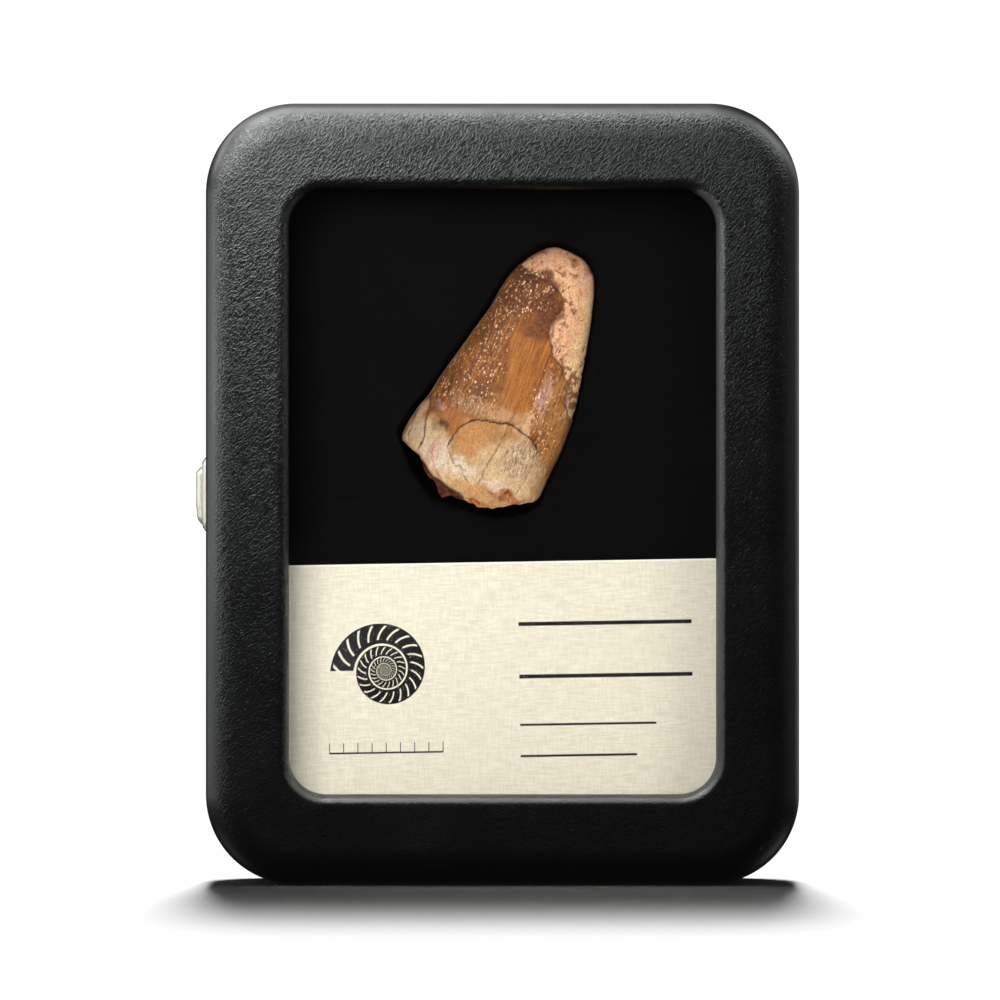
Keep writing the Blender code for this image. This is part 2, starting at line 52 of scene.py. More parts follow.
# The case, as packed
CASE_WIDTH = 83.2 * MM
CASE_HEIGHT = 109.5 * MM
CASE_DEPTH = 28.0 * MM
CASE_CORNER = 12.6 * MM
WALL = 1.6 * MM
SEAM_Y = -3.0 * MM
SEAM_EDGE = 0.8 * MM
BACK_EDGE = 4.0 * MM
FRONT_EDGE = 5.0 * MM
FRONT_EDGE_DEPTH = 4.2 * MM
WINDOW_WIDTH = 59.8 * MM
WINDOW_HEIGHT = 84.6 * MM
WINDOW_CORNER = 5.2 * MM
WINDOW_MID_Z = 55.0 * MM
ROLL = 1.5 * MM
ROLL_DEPTH = 2.0 * MM
LIP = 0.8 * MM
FOAM_FACE_Y = -3.6 * MM
CARD_WIDTH = 64.0 * MM
CARD_HEIGHT = 36.0 * MM
CARD_THICKNESS = 0.35 * MM
CARD_TOP_Z = 45.18 * MM
CARD_TILT = math.radians(0.95)

# The hinge and the clasp, as packed
HINGE_INSET = 1.3 * MM
HINGE_LENGTH = 40.0 * MM
KNUCKLE_RADIUS = 1.2 * MM
LEAF_REACH = 6.0 * MM
HINGE_EDGE = 2.2 * MM
CLASP_Y = 1.8 * MM
CLASP_Z = 54.7 * MM
BEZEL_LENGTH = 10.7 * MM
BEZEL_WIDTH = 6.0 * MM
BEZEL_CORNER = 1.5 * MM
BEZEL_SUNK = 0.3 * MM
BUTTON_PROUD = 1.75 * MM
FLANGE_MARGIN = 0.6 * MM
FLANGE_THICKNESS = 0.6 * MM
BUTTON_LENGTH = 8.2 * MM
BUTTON_WIDTH = 3.6 * MM
BUTTON_CORNER = 1.2 * MM
BUTTON_DROP = 0.2 * MM
CLASP_ROOM_X = -37.0 * MM
CLASP_ROOM_Y = 5.2 * MM
CLASP_ROOM_Z = 5.7 * MM
STEEL_NODES = ("clasp_catch", "hinge_base_leaf", "hinge_lid_leaf", "hinge_pin")

# Wear and softness: the button's worn lower end, from its middle down, and how far the outermost lines of
# the card and of the foam are pressed back
BUTTON_WEAR = 0.4 * MM
WEAR_START = 0.3
WEAR_MOST = 0.6
CARD_EDGE = (0.16 * MM, 0.06 * MM, 0.015 * MM)
FOAM_EDGE = (0.6 * MM, 0.2 * MM, 0.05 * MM)

# How finely each is made: points round a corner and along each short and long side, or columns and rows
LID_STEPS = (66, 190, 270)
TRAY_STEPS = (52, 130, 190)
CLASP_STEPS = (10, 4, 14)
FOAM_GRID = (232, 310)
CARD_GRID = (132, 76)

# Worked out from the sizes above
BACK_Y = CASE_DEPTH / 2
FRONT_Y = -CASE_DEPTH / 2
FLOOR_Y = BACK_Y - WALL
LIP_Y = FRONT_Y + ROLL_DEPTH
PLATE_Y = LIP_Y + LIP
LEFT_X = -CASE_WIDTH / 2
RIGHT_X = CASE_WIDTH / 2
MID_Z = CASE_HEIGHT / 2
HINGE_X = RIGHT_X - HINGE_INSET
HINGE_LOW = MID_Z - HINGE_LENGTH / 2
HINGE_HIGH = MID_Z + HINGE_LENGTH / 2

# The padded leatherette: its form, its grain, which is flatter lower right with painted shade there, and the
# painted highlight on its inner roll, strongest on the right and lower sides
CROWN = 0.35 * MM
WAVE_DEPTH = 0.02
WAVE_SIZE = 1.6
GRAIN_STRETCH = 2.1
GRAIN_SLANT = math.radians(48)
GRAIN_KEPT = (0.42, 1.0)
GRAIN_MIDDLE = 0.6
GRAIN_FALL = 0.38
GRAIN_FALL_ACROSS = 0.19
SMOOTH_BAND = (0.9 * MM, 2.1 * MM)
GROOVE_ENDS = (4.2 * MM, 8.0 * MM)
ROLL_HIGHLIGHT_STEP = (0.43, 0.49)
ROLL_HIGHLIGHT_LEFT = 0.4

# Where the tooth lies, as packed
TIP_X = 7.5 * MM
TIP_Z = 89.2 * MM
TOOTH_MID_Y = -1.9 * MM
TOOTH_LEAN = math.radians(19.7)

# The tooth's form in millimetres, as packed: v runs from the worn tip down to the base, u across it
TIP_U = 0.95
TIP_V = -0.45
TIP_SETBACK = 1.2
SETBACK_END = 20.0
LEFT_SIDE = (
    (-0.45, 0.9), (-0.1, -0.5), (0.5, -1.4), (2.2, -2.9), (3.9, -3.9), (5.9, -4.7), (8, -5.2),
    (10.5, -5.6), (13.6, -6.5), (17.1, -7.5), (21.6, -8.8), (25.2, -9.8), (27.7, -10.9), (31.6, -11.6),
    (40, -11.8),
)
RIGHT_SIDE = (
    (-0.45, 1), (-0.3, 2.4), (-0.1, 3.6), (0.6, 5), (1.9, 6.3), (3.9, 7), (8.7, 8.1),
    (15.6, 9.3), (21, 10), (25.8, 10), (31.2, 9.5), (40, 8.9),
)
HALF_THICKNESS = (
    (-0.45, 0), (0, 1.6), (1, 3), (3, 4.2), (6, 5), (12, 5.8), (20, 6.6),
    (28, 7), (34, 6.7), (40, 6.4),
)
BROKEN_EDGE = (
    (-11.6, 32), (-11.2, 32.7), (-10.1, 33.1), (-8.6, 33.6), (-7.3, 35.2), (-5.1, 36.6), (-2.9, 38.2),
    (-1.9, 37.5), (-0.1, 37.6), (1.9, 37.8), (4.3, 37.1), (6.3, 36), (9, 34.4), (9.5, 33.8),
)
FLAKED_EDGE = (
    (-0.45, -5), (3, -4.8), (4.1, -3.4), (4.6, -0.9), (4.9, 1.2), (5.7, 2.7), (7.4, 3.4),
    (9.7, 2.9), (13.8, 4.5), (15.1, 5.9), (16.4, 7), (18.6, 8.2), (21.2, 9.2), (22.4, 11.5), (40, 13),
)
FLUTES = 13
FLUTE_DEPTH = 0.05
FLUTES_GROW = (3.0, 9.0)
FLUTES_FADE = (24.0, 34.0)
FLANK_SHARE = 0.4
SIDE_SPARE = 0.36
ENAMEL_EDGE = (
    (-11.8, 33.4), (-10.1, 33.5), (-8.7, 33.6), (-7.2, 34.6), (-5.8, 35.6), (-4.2, 36.1), (-1.8, 36.8),
    (1.1, 37.8), (10, 39),
)
BREAK_HALF_WIDTH = 10.55
BACK_BREAK = 1.4
BACK_WAVE = 0.5
HOLLOW_DEPTH = 2.6
POCKET_BASE = ((9.5, 34.2), (8.4, 35.6), (4.4, 37.7), (-4.2, 38.2), (-7.9, 35.6))
POCKET_MARGIN = 0.55
POCKET_GAP = 0.5
POCKET_SIDE = (-0.35, 0.4)
FOAM_SINK = 0.07

# How deep each mark is sunk, then fine ridges along the tooth (height, fineness round and along it, number of
# the noise) and lumps (on which mark or everywhere, height, fineness, number of the noise), in millimetres
SUNK = {"flaked": 0.45, "arch": 0.12, "pit": 0.16, "crack": 0.18, "core": 1.2}
RIDGES = ((0.05, 26, 0.16, 41), (0.025, 60, 0.3, 42))
LUMPS = (
    ("specked_and_glinting", 0.035, 4.5, 43), ("flaked", 0.06, 0.9, 44), ("flaked", 0.03, 3.0, 45),
    ("core", -0.30, 1.1, 46), ("core", -0.16, 2.7, 47), (None, 0.02, 1.6, 48),
)

# The arch that broke away, and the cracks: points along each as u and v, its width and how dark it is
ARCH_EDGE = (
    (-4.9, 31.1), (-4.8, 29.7), (-4.2, 28.1), (-3, 26.7), (-1.1, 26), (0.5, 26), (1.9, 25.4),
    (3, 25.6), (4.8, 26.1), (6.5, 26.8), (7.2, 27.7),
)
ARCH_FOOT = ((-4.3, 32.2), (-3.6, 33), (-3, 33.5), (-2.4, 33.3), (-1.3, 34.4), (-0.4, 35.1))
ARCH_RIGHT = ((7.4, 29.2), (7.2, 31), (6.8, 33.5), (6.4, 40), (-0.4, 40))
ARCH_REGION = ARCH_EDGE + ARCH_RIGHT + ARCH_FOOT[::-1]
CRACKS = (
    (ARCH_EDGE, 0.13, 1),
    (((7.2, 27.7), (7, 29)), 0.10, 0.7),
    (((-5, 31.3),) + ARCH_FOOT, 0.11, 0.8),
    (((3, 20.6), (2.5, 22.8), (2.2, 25.2)), 0.06, 0.55),
    (((2.2, 25.2), (2, 27.4), (1.5, 30.1), (1.1, 32.4), (0.9, 34.6)), 0.09, 0.8),
    (((-2.4, 22.7), (-2.3, 24.6), (-2.7, 26.2)), 0.07, 0.6),
    (((-9.6, 25.6), (-9.2, 28.1), (-9, 29.7), (-8.6, 31), (-8.7, 33)), 0.12, 0.9),
    (((-10.7, 27), (-10.7, 29.5), (-10.8, 31.4), (-10.4, 32.4)), 0.10, 0.8),
    (((7.1, 30.6), (6.9, 32.4), (6.4, 34.2)), 0.08, 0.7),
    (((3.4, 10.2), (3.7, 11.6), (4.3, 13.6)), 0.12, 0.6),
)
RED_VEIN = ((-6.4, 29.9), (-6.9, 31.4), (-6.7, 33), (-5.7, 34.8), (-4.4, 35.9))

# Soft patches of colour: where each is, its half sizes across and along, how strong it is, and its turn
PATCHES = {
    "dark": (
        (-2.6, 5.2, 2, 1.7, 1), (1.3, 7.4, 1.9, 2.9, 1), (-2.6, 8, 2.6, 2.6, 0.6, 0.2),
        (1.6, 11.6, 1.5, 1.9, 0.75), (-3.2, 22.4, 1.5, 0.5, 0.5, 0.1), (-6.6, 28.6, 0.6, 0.7, 1),
        (-0.6, 4.6, 2.4, 1.4, 0.9, 0.1), (-7.5, 29.4, 0.7, 0.8, 0.5), (-3.7, 4.4, 1.2, 1.2, 0.8),
        (2.7, 8.6, 1.3, 2.2, 0.9), (-0.4, 21.6, 0.9, 0.6, 0.5, 0.2), (-8.2, 27, 0.6, 1.2, 0.6, 0.2),
        (-8.6, 20.8, 0.6, 2.6, 0.4, 0.25), (0.5, 3.8, 0.8, 0.4, 0.9), (2, 3.1, 0.9, 0.3, 0.7, 0.3),
        (3.6, 2.5, 0.6, 0.4, 0.7), (3.1, 9.7, 0.5, 0.6, 0.8), (4.6, 9.9, 0.4, 0.5, 0.7),
        (5.7, 10.3, 0.3, 0.5, 0.6), (6.6, 14.7, 0.5, 0.9, 0.8), (7.9, 17.1, 0.4, 0.8, 0.8),
    ),
    "brown": (
        (-5, 11.5, 1.7, 6, 0.8, 0.28), (8.6, 23, 1, 7.5, 0.2), (0.6, 11.5, 1.6, 2.2, 0.8, 0.1),
        (-7.6, 21.5, 1.7, 4.6, 0.3, 0.25), (-1.8, 21.4, 1.8, 1.2, 0.7), (-0.8, 8.2, 2.6, 3.4, 0.6, 0.2),
        (2.6, 10.6, 0.7, 3.2, 0.8), (6.6, 27.3, 1, 2.2, 0.35, 0.1), (-8.4, 26.8, 1.8, 1.8, 0.6, 0.1),
        (8.4, 29.5, 0.8, 2.2, 0.1),
    ),
    "tan": (
        (0.6, 17.5, 2.1, 6.5, 0.5, -0.12), (0, 24, 4.6, 1.8, 0.8), (-5.4, 25.4, 2.2, 2, 0.6),
        (4.6, 22.6, 2.2, 3.2, 0.7), (0, 28.2, 8.6, 1.9, 0.7),
    ),
    "cream": (
        (3, 31.8, 6.6, 4.1, 0.9), (-8.6, 31.2, 3.4, 2.8, 1, 0.3), (4.4, 32.2, 2.2, 2, 1),
        (8, 32.4, 1.4, 3, 0.7), (5.6, 33.8, 3.9, 2.6, 0.9), (-2.5, 34.6, 5.5, 2.6, 1, 0.2),
        (-0.5, 24.4, 5.6, 1.7, 0.4), (4.4, 25, 1.2, 2.4, 0.7), (-9.8, 28.6, 0.9, 2.2, 0.8, 0.1),
    ),
    "grey": (
        (4.8, 29.6, 1.8, 3, 0.5), (-9.9, 30.6, 1.2, 2.4, 0.8, 0.1), (5.9, 20.6, 0.8, 3.6, 0.4, -0.1),
    ),
    "orange": (
        (-1.9, 29, 2.6, 2.6, 0.9, 0.4), (0.4, 35.9, 2.2, 0.9, 0.8), (-2, 35.9, 1.6, 0.6, 0.6, 0.3),
        (-1, 32, 1.6, 0.9, 0.4), (8.6, 24.5, 1.5, 6.4, 0.6), (7, 18.5, 0.7, 2.6, 0.5, 0.1),
    ),
    "pale": (
        (-1.9, 33.3, 1.9, 1.2, 1, 0.3), (-5.3, 32.8, 1.4, 2.1, 1), (-4.6, 34.4, 1.2, 0.9, 0.8, 0.3),
        (-2.6, 31.9, 1.2, 1, 0.7, 0.2), (2.6, 34.2, 2.4, 0.8, 0.6), (-7.6, 32.6, 1, 1.4, 0.5),
    ),
    "pink": (
        (5.3, 19.8, 0.7, 2.4, 0.8, -0.1), (-6.4, 32.6, 0.5, 1.9, 0.4), (-1.3, 1, 1.3, 0.8, 0.7),
        (8.9, 20.5, 0.5, 2, 0.8), (5.3, 2.6, 1.2, 1, 0.5), (-7.7, 26.2, 0.8, 0.7, 0.7),
    ),
    "rust": (
        (5.2, 35, 1.9, 0.9, 1, -0.3), (3.6, 34.9, 0.9, 0.5, 0.8), (1.2, 37.2, 1.6, 0.5, 1),
        (7.2, 35, 0.9, 0.4, 0.7), (2.9, 0.4, 1.2, 0.6, 0.7), (5, 1.8, 0.7, 0.5, 0.6, 0.5),
        (-1.9, 1.2, 0.8, 0.6, 0.7, -0.6), (-8.9, 27.2, 0.5, 1, 0.7, 0.2),
    ),
    # Pale specks, partly painted glints
    "specked_and_glinting": (
        (-3.4, 9.5, 3, 6.6, 1, 0.3), (-6, 19, 2.4, 6.4, 1, 0.25), (1.2, 7.6, 1.6, 2.4, 0.5),
        (5.4, 20.6, 1.2, 4.6, 1, -0.05), (-1.6, 5.6, 2.4, 2.2, 0.9), (-4.6, 14.5, 2.6, 5.2, 1, 0.3),
        (-2.6, 19.4, 1.8, 1.9, 0.6), (7.3, 26.4, 1.2, 4.6, 0.8), (-3, 23.2, 3.5, 1.5, 0.9),
        (4.9, 30, 1.9, 2.6, 0.6), (5, 14.2, 1, 3, 0.7, -0.2), (-0.6, 25.3, 2, 0.7, 0.7),
    ),
}

# The studio's soft boxes: what each is for, where it is, what it aims at and its size in centimetres, and its
# power. Those for the sheen, the edges and the top are only seen as reflections, those for the case, its
# inside and the tooth only bring out colours, and those for the tooth and the metal light nothing else.
SOFT_BOXES = (
    ("sheen", (-5, -10, 13.5), (-3, 0, 9), (3, 3), 0.079),
    ("sheen", (2, -10, 14), (0, 0, 9), (3, 3), 0.0205),
    ("sheen", (-6, -6, 14.5), (-3, 0, 10), (3, 3), 0.0309),
    ("sheen", (-12, -6, 14), (-4, 0, 10), (4, 4), 0.0881),
    ("sheen", (-10, -4, 20), (-4, 0, 11), (6, 6), 0.156),
    ("top", (-10, -2, 45), (-2, 0, 8), (30, 26), 2.97),
    ("top", (-10, 28, 38), (-2, 0, 8), (30, 26), 0.198),
    ("top", (10, -2, 45), (-2, 0, 8), (20, 20), 0.568),
    ("top", (30, 0, 36), (4, 0, 10), (20, 20), 0.917),
    ("edge", (-45, 0, 5.5), (-2, 0, 5.5), (24, 11), 0.257),
    ("edge", (-40, 21, 5.5), (-2, 0, 5.5), (16, 11), 0.123),
    ("edge", (-16, -2, 8), (-4, 0, 8), (6, 5), 0.0503),
    ("edge", (-40, 8, 27), (-3, 0, 10), (14, 14), 0.543),
    ("top", (-28, 15, 36), (-3, 0, 10), (20, 20), 0.526),
    ("edge", (45, 0, 10), (2, 0, 6), (24, 24), 0.0625),
    ("edge", (33, 32, 10), (2, 0, 6), (24, 24), 0.146),
    ("edge", (-32, 10, -22), (-3, 0, 2), (16, 16), 0.0494),
    ("edge", (32, 10, -22), (3, 0, 2), (16, 16), 0.0787),
    ("edge", (34, 16, 26), (3, 0, 10), (12, 12), 0.16),
    ("case", (-10, -38, 30), (-1, 0, 5), (10, 10), 0.225),
    ("case", (-12, -20, 12), (-1, 0, 5), (5, 5), 0.216),
    ("case", (-6, -20, 12), (-1, 0, 5), (5, 5), 0.165),
    ("inside", (30, -38, 10), (0, 0, 5), (20, 20), 0.617),
    ("case", (0, -45, 2), (0, 0, 5), (20, 3), 0.246),
    ("metal", (32, -10, 16), (4, 0, 5.5), (20, 20), 1.2),
    ("tooth", (-8, -50, 16), (0, 0, 7), (16, 16), 1.45),
    ("tooth", (26, -40, 6), (0, 0, 7), (16, 16), 0.75),
    ("tooth", (42, -16, 10), (0, 0, 7), (16, 16), 1.3),
    ("tooth", (16, -26, 36), (0, 0, 7), (12, 12), 0.45),
)

# The world's glow on the object and behind it, and the light on the floor, which makes the object's shadow:
# how far from straight above each sun stands, and its share
DIM_GLOW = 0.022
WHITE_GLOW = 1.1
FLOOR_LIGHT = 3.62
FLOOR_SUNS = ((14, 0.02), (22, 0.05), (29, 0.11), (36, 0.19), (43, 0.28), (49, 0.24), (55, 0.11))


# Random forms that come out the same on every run


def lattice(cell, seed):
    """A steady random number from 0 to 1 for each whole-numbered cell."""
    mixed = np.full(cell.shape[:-1], seed * 7919 + 17, dtype=np.uint32)
    for k, prime in zip(range(cell.shape[-1]), (73856093, 19349663, 83492791)):
        mixed = (mixed ^ (cell[..., k].astype(np.uint32) * np.uint32(prime))) * np.uint32(1274126177)
        mixed = mixed ^ (mixed >> np.uint32(15))
    return mixed / 2.0**32


def soft_noise(points, seed):
    """Soft random heights from -1 to 1 that change over about one unit."""
    base = np.floor(points)
    part = points - base
    part = part * part * (3 - 2 * part)
    base = base.astype(np.int64)
    total = np.zeros(points.shape[:-1])
    for corner in itertools.product((0, 1), repeat=points.shape[-1]):
        weight = np.prod(np.where(corner, part, 1 - part), axis=-1)
        total += weight * lattice(base + np.array(corner), seed)
    return 2 * total - 1


def lumps(points, *layers):
    """Soft random heights in layers: how high each is, how fine, and its own number."""
    return sum(height * soft_noise(points * fine, seed) for height, fine, seed in layers)


def step_up(value, low, high):
    """0 below low, 1 above high and a soft step between."""
    t = np.clip((value - low) / (high - low), 0.0, 1.0)
    return t * t * (3 - 2 * t)


def smooth_line(points, at):
    """Heights of a smooth line through points that are sorted by their first number, without overshoot."""
    x, y = np.array(points, dtype=float).T
    slope = np.diff(y) / np.diff(x)
    same_way = slope[:-1] * slope[1:] > 0
    safe_sum = np.where(same_way, slope[:-1] + slope[1:], 1.0)
    inner = np.where(same_way, 2 * slope[:-1] * slope[1:] / safe_sum, 0.0)
    tangent = np.concatenate([slope[:1], inner, slope[-1:]])
    at = np.clip(at, x[0], x[-1])
    k = np.clip(np.searchsorted(x, at) - 1, 0, len(x) - 2)
    width = x[k + 1] - x[k]
    t = (at - x[k]) / width
    rise = y[k] * (1 + 2 * t) * (1 - t) ** 2 + y[k + 1] * t * t * (3 - 2 * t)
    return rise + width * (tangent[k] * t * (1 - t) ** 2 - tangent[k + 1] * t * t * (1 - t))


def line_distance(u, v, points):
    """How far each place is from a line through points."""
    far = np.full(np.broadcast(u, v).shape, 99.0)
    for (u0, v0), (u1, v1) in zip(points, points[1:]):
        run_u, run_v = u1 - u0, v1 - v0
        along = ((u - u0) * run_u + (v - v0) * run_v) / (run_u**2 + run_v**2)
        along = np.clip(along, 0.0, 1.0)
        far = np.minimum(far, np.hypot(u - u0 - along * run_u, v - v0 - along * run_v))
    return far


def inside_line(u, v, points):
    """True for places inside a closed line."""
    inside = np.zeros(u.shape, dtype=bool)
    for (u0, v0), (u1, v1) in zip(points, points[1:] + points[:1]):
        crosses = (v0 > v) != (v1 > v)
        with np.errstate(divide="ignore", invalid="ignore"):
            at = u0 + (v - v0) * (u1 - u0) / (v1 - v0)
        inside ^= crosses & (u < at)
    return inside


def join(*parts):
    """Places or directions from their separate numbers."""
    return np.stack(parts, axis=-1)


# Meshes


def add_object(name, data):
    made = bpy.data.objects.new(name, data)
    bpy.context.collection.objects.link(made)
    return made


def new_piece(name, points, faces, finishes, place, masks=None, sharp_angle=60):
    """A smooth object from points and faces, with its own millimetres and masks kept as attributes."""
    mesh = bpy.data.meshes.new(name)
    mesh.from_pydata(points.tolist(), [], faces)
    shape = bmesh.new()
    shape.from_mesh(mesh)
    bmesh.ops.recalc_face_normals(shape, faces=shape.faces)
    shape.to_mesh(mesh)
    shape.free()
    mesh.attributes.new("place", "FLOAT_VECTOR", "POINT").data.foreach_set(
        "vector", place.astype(np.float32).ravel()
    )
    for mask, values in (masks or {}).items():
        layer = mesh.attributes.new(mask, "FLOAT", "POINT")
        layer.data.foreach_set("value", values.astype(np.float32).ravel())
    mesh.shade_smooth()
    mesh.set_sharp_from_angle(angle=math.radians(sharp_angle))
    for finish in finishes:
        mesh.materials.append(finish)
    return add_object(name, mesh)


def ring_faces(rows, count, joined):
    """Faces between rings of count points. The last ring joins the first, or each end gets one face."""
    row = np.arange(rows if joined else rows - 1)[:, None]
    column = np.arange(count)[None, :]
    below = (row + 1) % rows
    after = (column + 1) % count
    corners = (row * count + column, row * count + after, below * count + after, below * count + column)
    faces = join(*corners).reshape(-1, 4).tolist()
    if not joined:
        faces.append(list(range(count)))
        faces.append(list(range((rows - 1) * count, rows * count)))
    return faces


def plain_solid(name, rings):
    """A solid through a few rings, to cut others with."""
    rings = np.array(rings)
    points = rings.reshape(-1, 3)
    return new_piece(name, points, ring_faces(len(rings), rings.shape[1], False), (), points)


def carve(item, *tools):
    """Cuts an item by plain solids, which are then deleted."""
    for tool in tools:
        cut = item.modifiers.new(tool.name, "BOOLEAN")
        cut.solver = "EXACT"
        cut.object = tool
    done = bpy.data.meshes.new_from_object(item.evaluated_get(bpy.context.evaluated_depsgraph_get()))
    item.modifiers.clear()
    item.data = done
    for tool in tools:
        bpy.data.objects.remove(tool)


def upright_box(name, low, high):
    corners = [(low[0], low[1]), (high[0], low[1]), (high[0], high[1]), (low[0], high[1])]
    return plain_solid(name, [[(x, y, z) for x, y in corners] for z in (low[2], high[2])])


def outward(rings):
    """The direction out of a surface at each point of its rings."""
    around = np.roll(rings, -1, axis=1) - np.roll(rings, 1, axis=1)
    down = np.gradient(rings, axis=0)
    normal = np.cross(around, down)
    return normal / np.maximum(np.linalg.norm(normal, axis=-1, keepdims=True), 1e-12)


# Materials


def color(shade):
    """A colour for a socket. Three numbers are 0 to 255 screen values, and anything else is kept."""
    if not isinstance(shade, tuple) or len(shade) != 3:
        return shade
    values = np.array(shade) / 255
    linear = np.where(values > 0.04045, ((values + 0.055) / 1.055) ** 2.4, values / 12.92)
    return (*linear.tolist(), 1.0)


class Nodes:
    """The nodes of a material or a world, which are added one by one and linked as they are made."""

    def __init__(self, owner):
        owner.use_nodes = True
        self.tree = owner.node_tree

    def put(self, socket, value):
        if isinstance(value, bpy.types.NodeSocket):
            self.tree.links.new(value, socket)
        else:
            socket.default_value = value

    def add(self, kind, inputs, **settings):
        node = self.tree.nodes.new("ShaderNode" + kind)
        for key, value in settings.items():
            setattr(node, key, value)
        for key, value in inputs.items():
            self.put(node.inputs[key], value)
        return node


class Finish(Nodes):
    """A material and the patterns that its nodes are made of."""

    def __init__(self, name):
        self.material = bpy.data.materials.new(name)
        super().__init__(self.material)

    def finished(self, **values):
        """The material, with its shader's inputs set: Base_Color=, Roughness= and so on."""
        for key, value in values.items():
            self.put(self.tree.nodes["Principled BSDF"].inputs[key.replace("_", " ")], value)
        return self.material

    def math(self, operation, a, b=0.0, c=0.0):
        return self.add("Math", {0: a, 1: b, 2: c}, operation=operation).outputs[0]

    def times(self, a, b, plus=None):
        """a times b, and plus a third value where there is one."""
        if plus is None:
            return self.math("MULTIPLY", a, b)
        return self.math("MULTIPLY_ADD", a, b, plus)

    def less(self, a, b):
        return self.math("LESS_THAN", a, b)

    def apart(self, a, b):
        return self.math("ABSOLUTE", self.math("SUBTRACT", a, b))

    def level(self, value, low, high, to_low=0.0, to_high=1.0):
        """A soft step from to_low to to_high as value goes from low to high."""
        inputs = {"Value": value, "From Min": low, "From Max": high, "To Min": to_low, "To Max": to_high}
        return self.add("MapRange", inputs, interpolation_type="SMOOTHSTEP").outputs[0]

    def mix(self, share, a, b):
        return self.add("Mix", {0: share, 6: color(a), 7: color(b)}, data_type="RGBA").outputs[2]

    def mask(self, name):
        return self.add("Attribute", {}, attribute_name=name).outputs["Fac"]

    def grazing(self):
        return self.add("LayerWeight", {"Blend": 0.5}).outputs["Facing"]

    def place(self, scale=(1.0, 1.0, 1.0), turn=(0.0, 0.0, 0.0)):
        """The piece's own millimetres, turned and then scaled."""
        source = self.add("Attribute", {}, attribute_name="place").outputs["Vector"]
        turned = self.add("Mapping", {"Vector": source, "Rotation": turn}).outputs[0]
        return self.add("Mapping", {"Vector": turned, "Scale": scale}).outputs[0]

    def object_place(self, scale):
        source = self.add("TexCoord", {}).outputs["Object"]
        return self.add("Mapping", {"Vector": source, "Scale": scale}).outputs[0]

    def noise(self, where, scale=1.0, detail=2.0, roughness=0.5):
        inputs = {"Vector": where, "Scale": scale, "Detail": detail, "Roughness": roughness}
        return self.add("TexNoise", inputs).outputs[0]

    def cells(self, where, scale=1.0, feature="F1"):
        return self.add("TexVoronoi", {"Vector": where, "Scale": scale}, feature=feature)

    def warped(self, where, scale, amount):
        """where, pushed about by soft noise."""
        inputs = {"Vector": where, "Scale": scale, "Detail": 1.0}
        push = self.add("TexNoise", inputs).outputs["Color"]
        moved = self.add("VectorMath", {0: push, 1: (0.5, 0.5, 0.5)}, operation="SUBTRACT").outputs[0]
        moved = self.add("VectorMath", {0: moved, "Scale": amount}, operation="SCALE").outputs[0]
        return self.add("VectorMath", {0: where, 1: moved}, operation="ADD").outputs[0]

    def bump(self, height, depth):
        """Relief of that depth in millimetres."""
        return self.add("Bump", {"Height": height, "Distance": depth * MM, "Strength": 1.0}).outputs[0]


def leatherette():
    """Black leatherette with fine slanting wrinkles, smooth where it is stretched over the edges."""
    made = Finish("black_leatherette")
    level, mix, times = made.level, made.mix, made.times
    slanted = made.place(scale=(1.0 / GRAIN_STRETCH, 1.0, 1.0), turn=(0.0, GRAIN_SLANT, 0.0))
    bent = made.warped(slanted, 1.1, 0.32)
    ridges = level(made.apart(made.noise(bent, 2.6, 1.0, 0.5), 0.5), 0.0, 0.12, 1.0, 0.0)
    net = level(made.cells(bent, 1.9, "DISTANCE_TO_EDGE").outputs["Distance"], 0.0, 0.24, 1.0, 0.0)
    relief = times(times(ridges, 0.72, times(net, 0.45)), made.mask("grain"))
    shine = times(level(relief, 0.1, 1.0), 0.24, 0.37)
    # Painted highlight: lighter grey on the inner roll, broken up by noise
    roll_highlight = times(made.noise(made.place(), 2.2, 3.0, 0.7), 0.5, made.mask("roll"))
    # Painted shade: the black is darker in the grain's creases and where the grain is flatter, lower right
    black = mix(level(relief, 0.0, 1.2), (9, 9, 9), (12, 13, 13))
    return made.finished(
        Base_Color=mix(level(roll_highlight, 0.40, 0.62), black, (66, 68, 65)),
        Roughness=level(made.noise(made.place(), 0.12, 3.0, 0.6), 0.3, 0.7, 0.35, 0.42),
        Specular_IOR_Level=times(shine, level(made.grazing(), 0.72, 0.86, 1.0, 0.12)),
        Specular_Tint=(0.94, 1.0, 0.98, 1.0),
        Normal=made.bump(relief, 0.052),
    )


def lining():
    """Dull black card that lines the inside of the lid and the tray."""
    made = Finish("black_lining")
    fibres = made.noise(made.place(scale=(1.0, 1.0, 3.0)), 3.0, 4.0, 0.7)
    return made.finished(
        Base_Color=made.mix(fibres, (7, 7, 7), (20, 20, 19)),
        Roughness=made.level(fibres, 0.2, 0.8, 0.7, 0.85),
        Specular_IOR_Level=0.25,
        Normal=made.bump(fibres, 0.02),
    )


def black_foam():
    """Dead black foam with very fine open cells."""
    made = Finish("fine_black_foam")
    dots = made.cells(made.place(), 3.6).outputs["Distance"]
    soft = made.noise(made.place(), 1.3, 3.0, 0.6)
    return made.finished(
        Base_Color=made.mix(made.level(dots, 0.1, 0.6), (4, 4, 4), (10, 10, 10)),
        Roughness=made.level(soft, 0.3, 0.7, 0.9, 1.0),
        Specular_IOR_Level=0.05,
        Normal=made.bump(made.times(soft, 0.4, dots), 0.06),
    )


def clear_pane():
    """Clear polished glass with the faintest smear."""
    made = Finish("clear_glass")
    smear = made.noise(made.object_place((40, 40, 90)), 1.0, 3.0, 0.6)
    return made.finished(
        Base_Color=made.mix(smear, (0.97, 0.985, 0.98, 1.0), (0.99, 1.0, 0.995, 1.0)),
        Roughness=made.level(smear, 0.3, 0.7, 0.01, 0.05),
        IOR=1.5,
        Alpha=0.12,
        Transmission_Weight=1.0,
    )


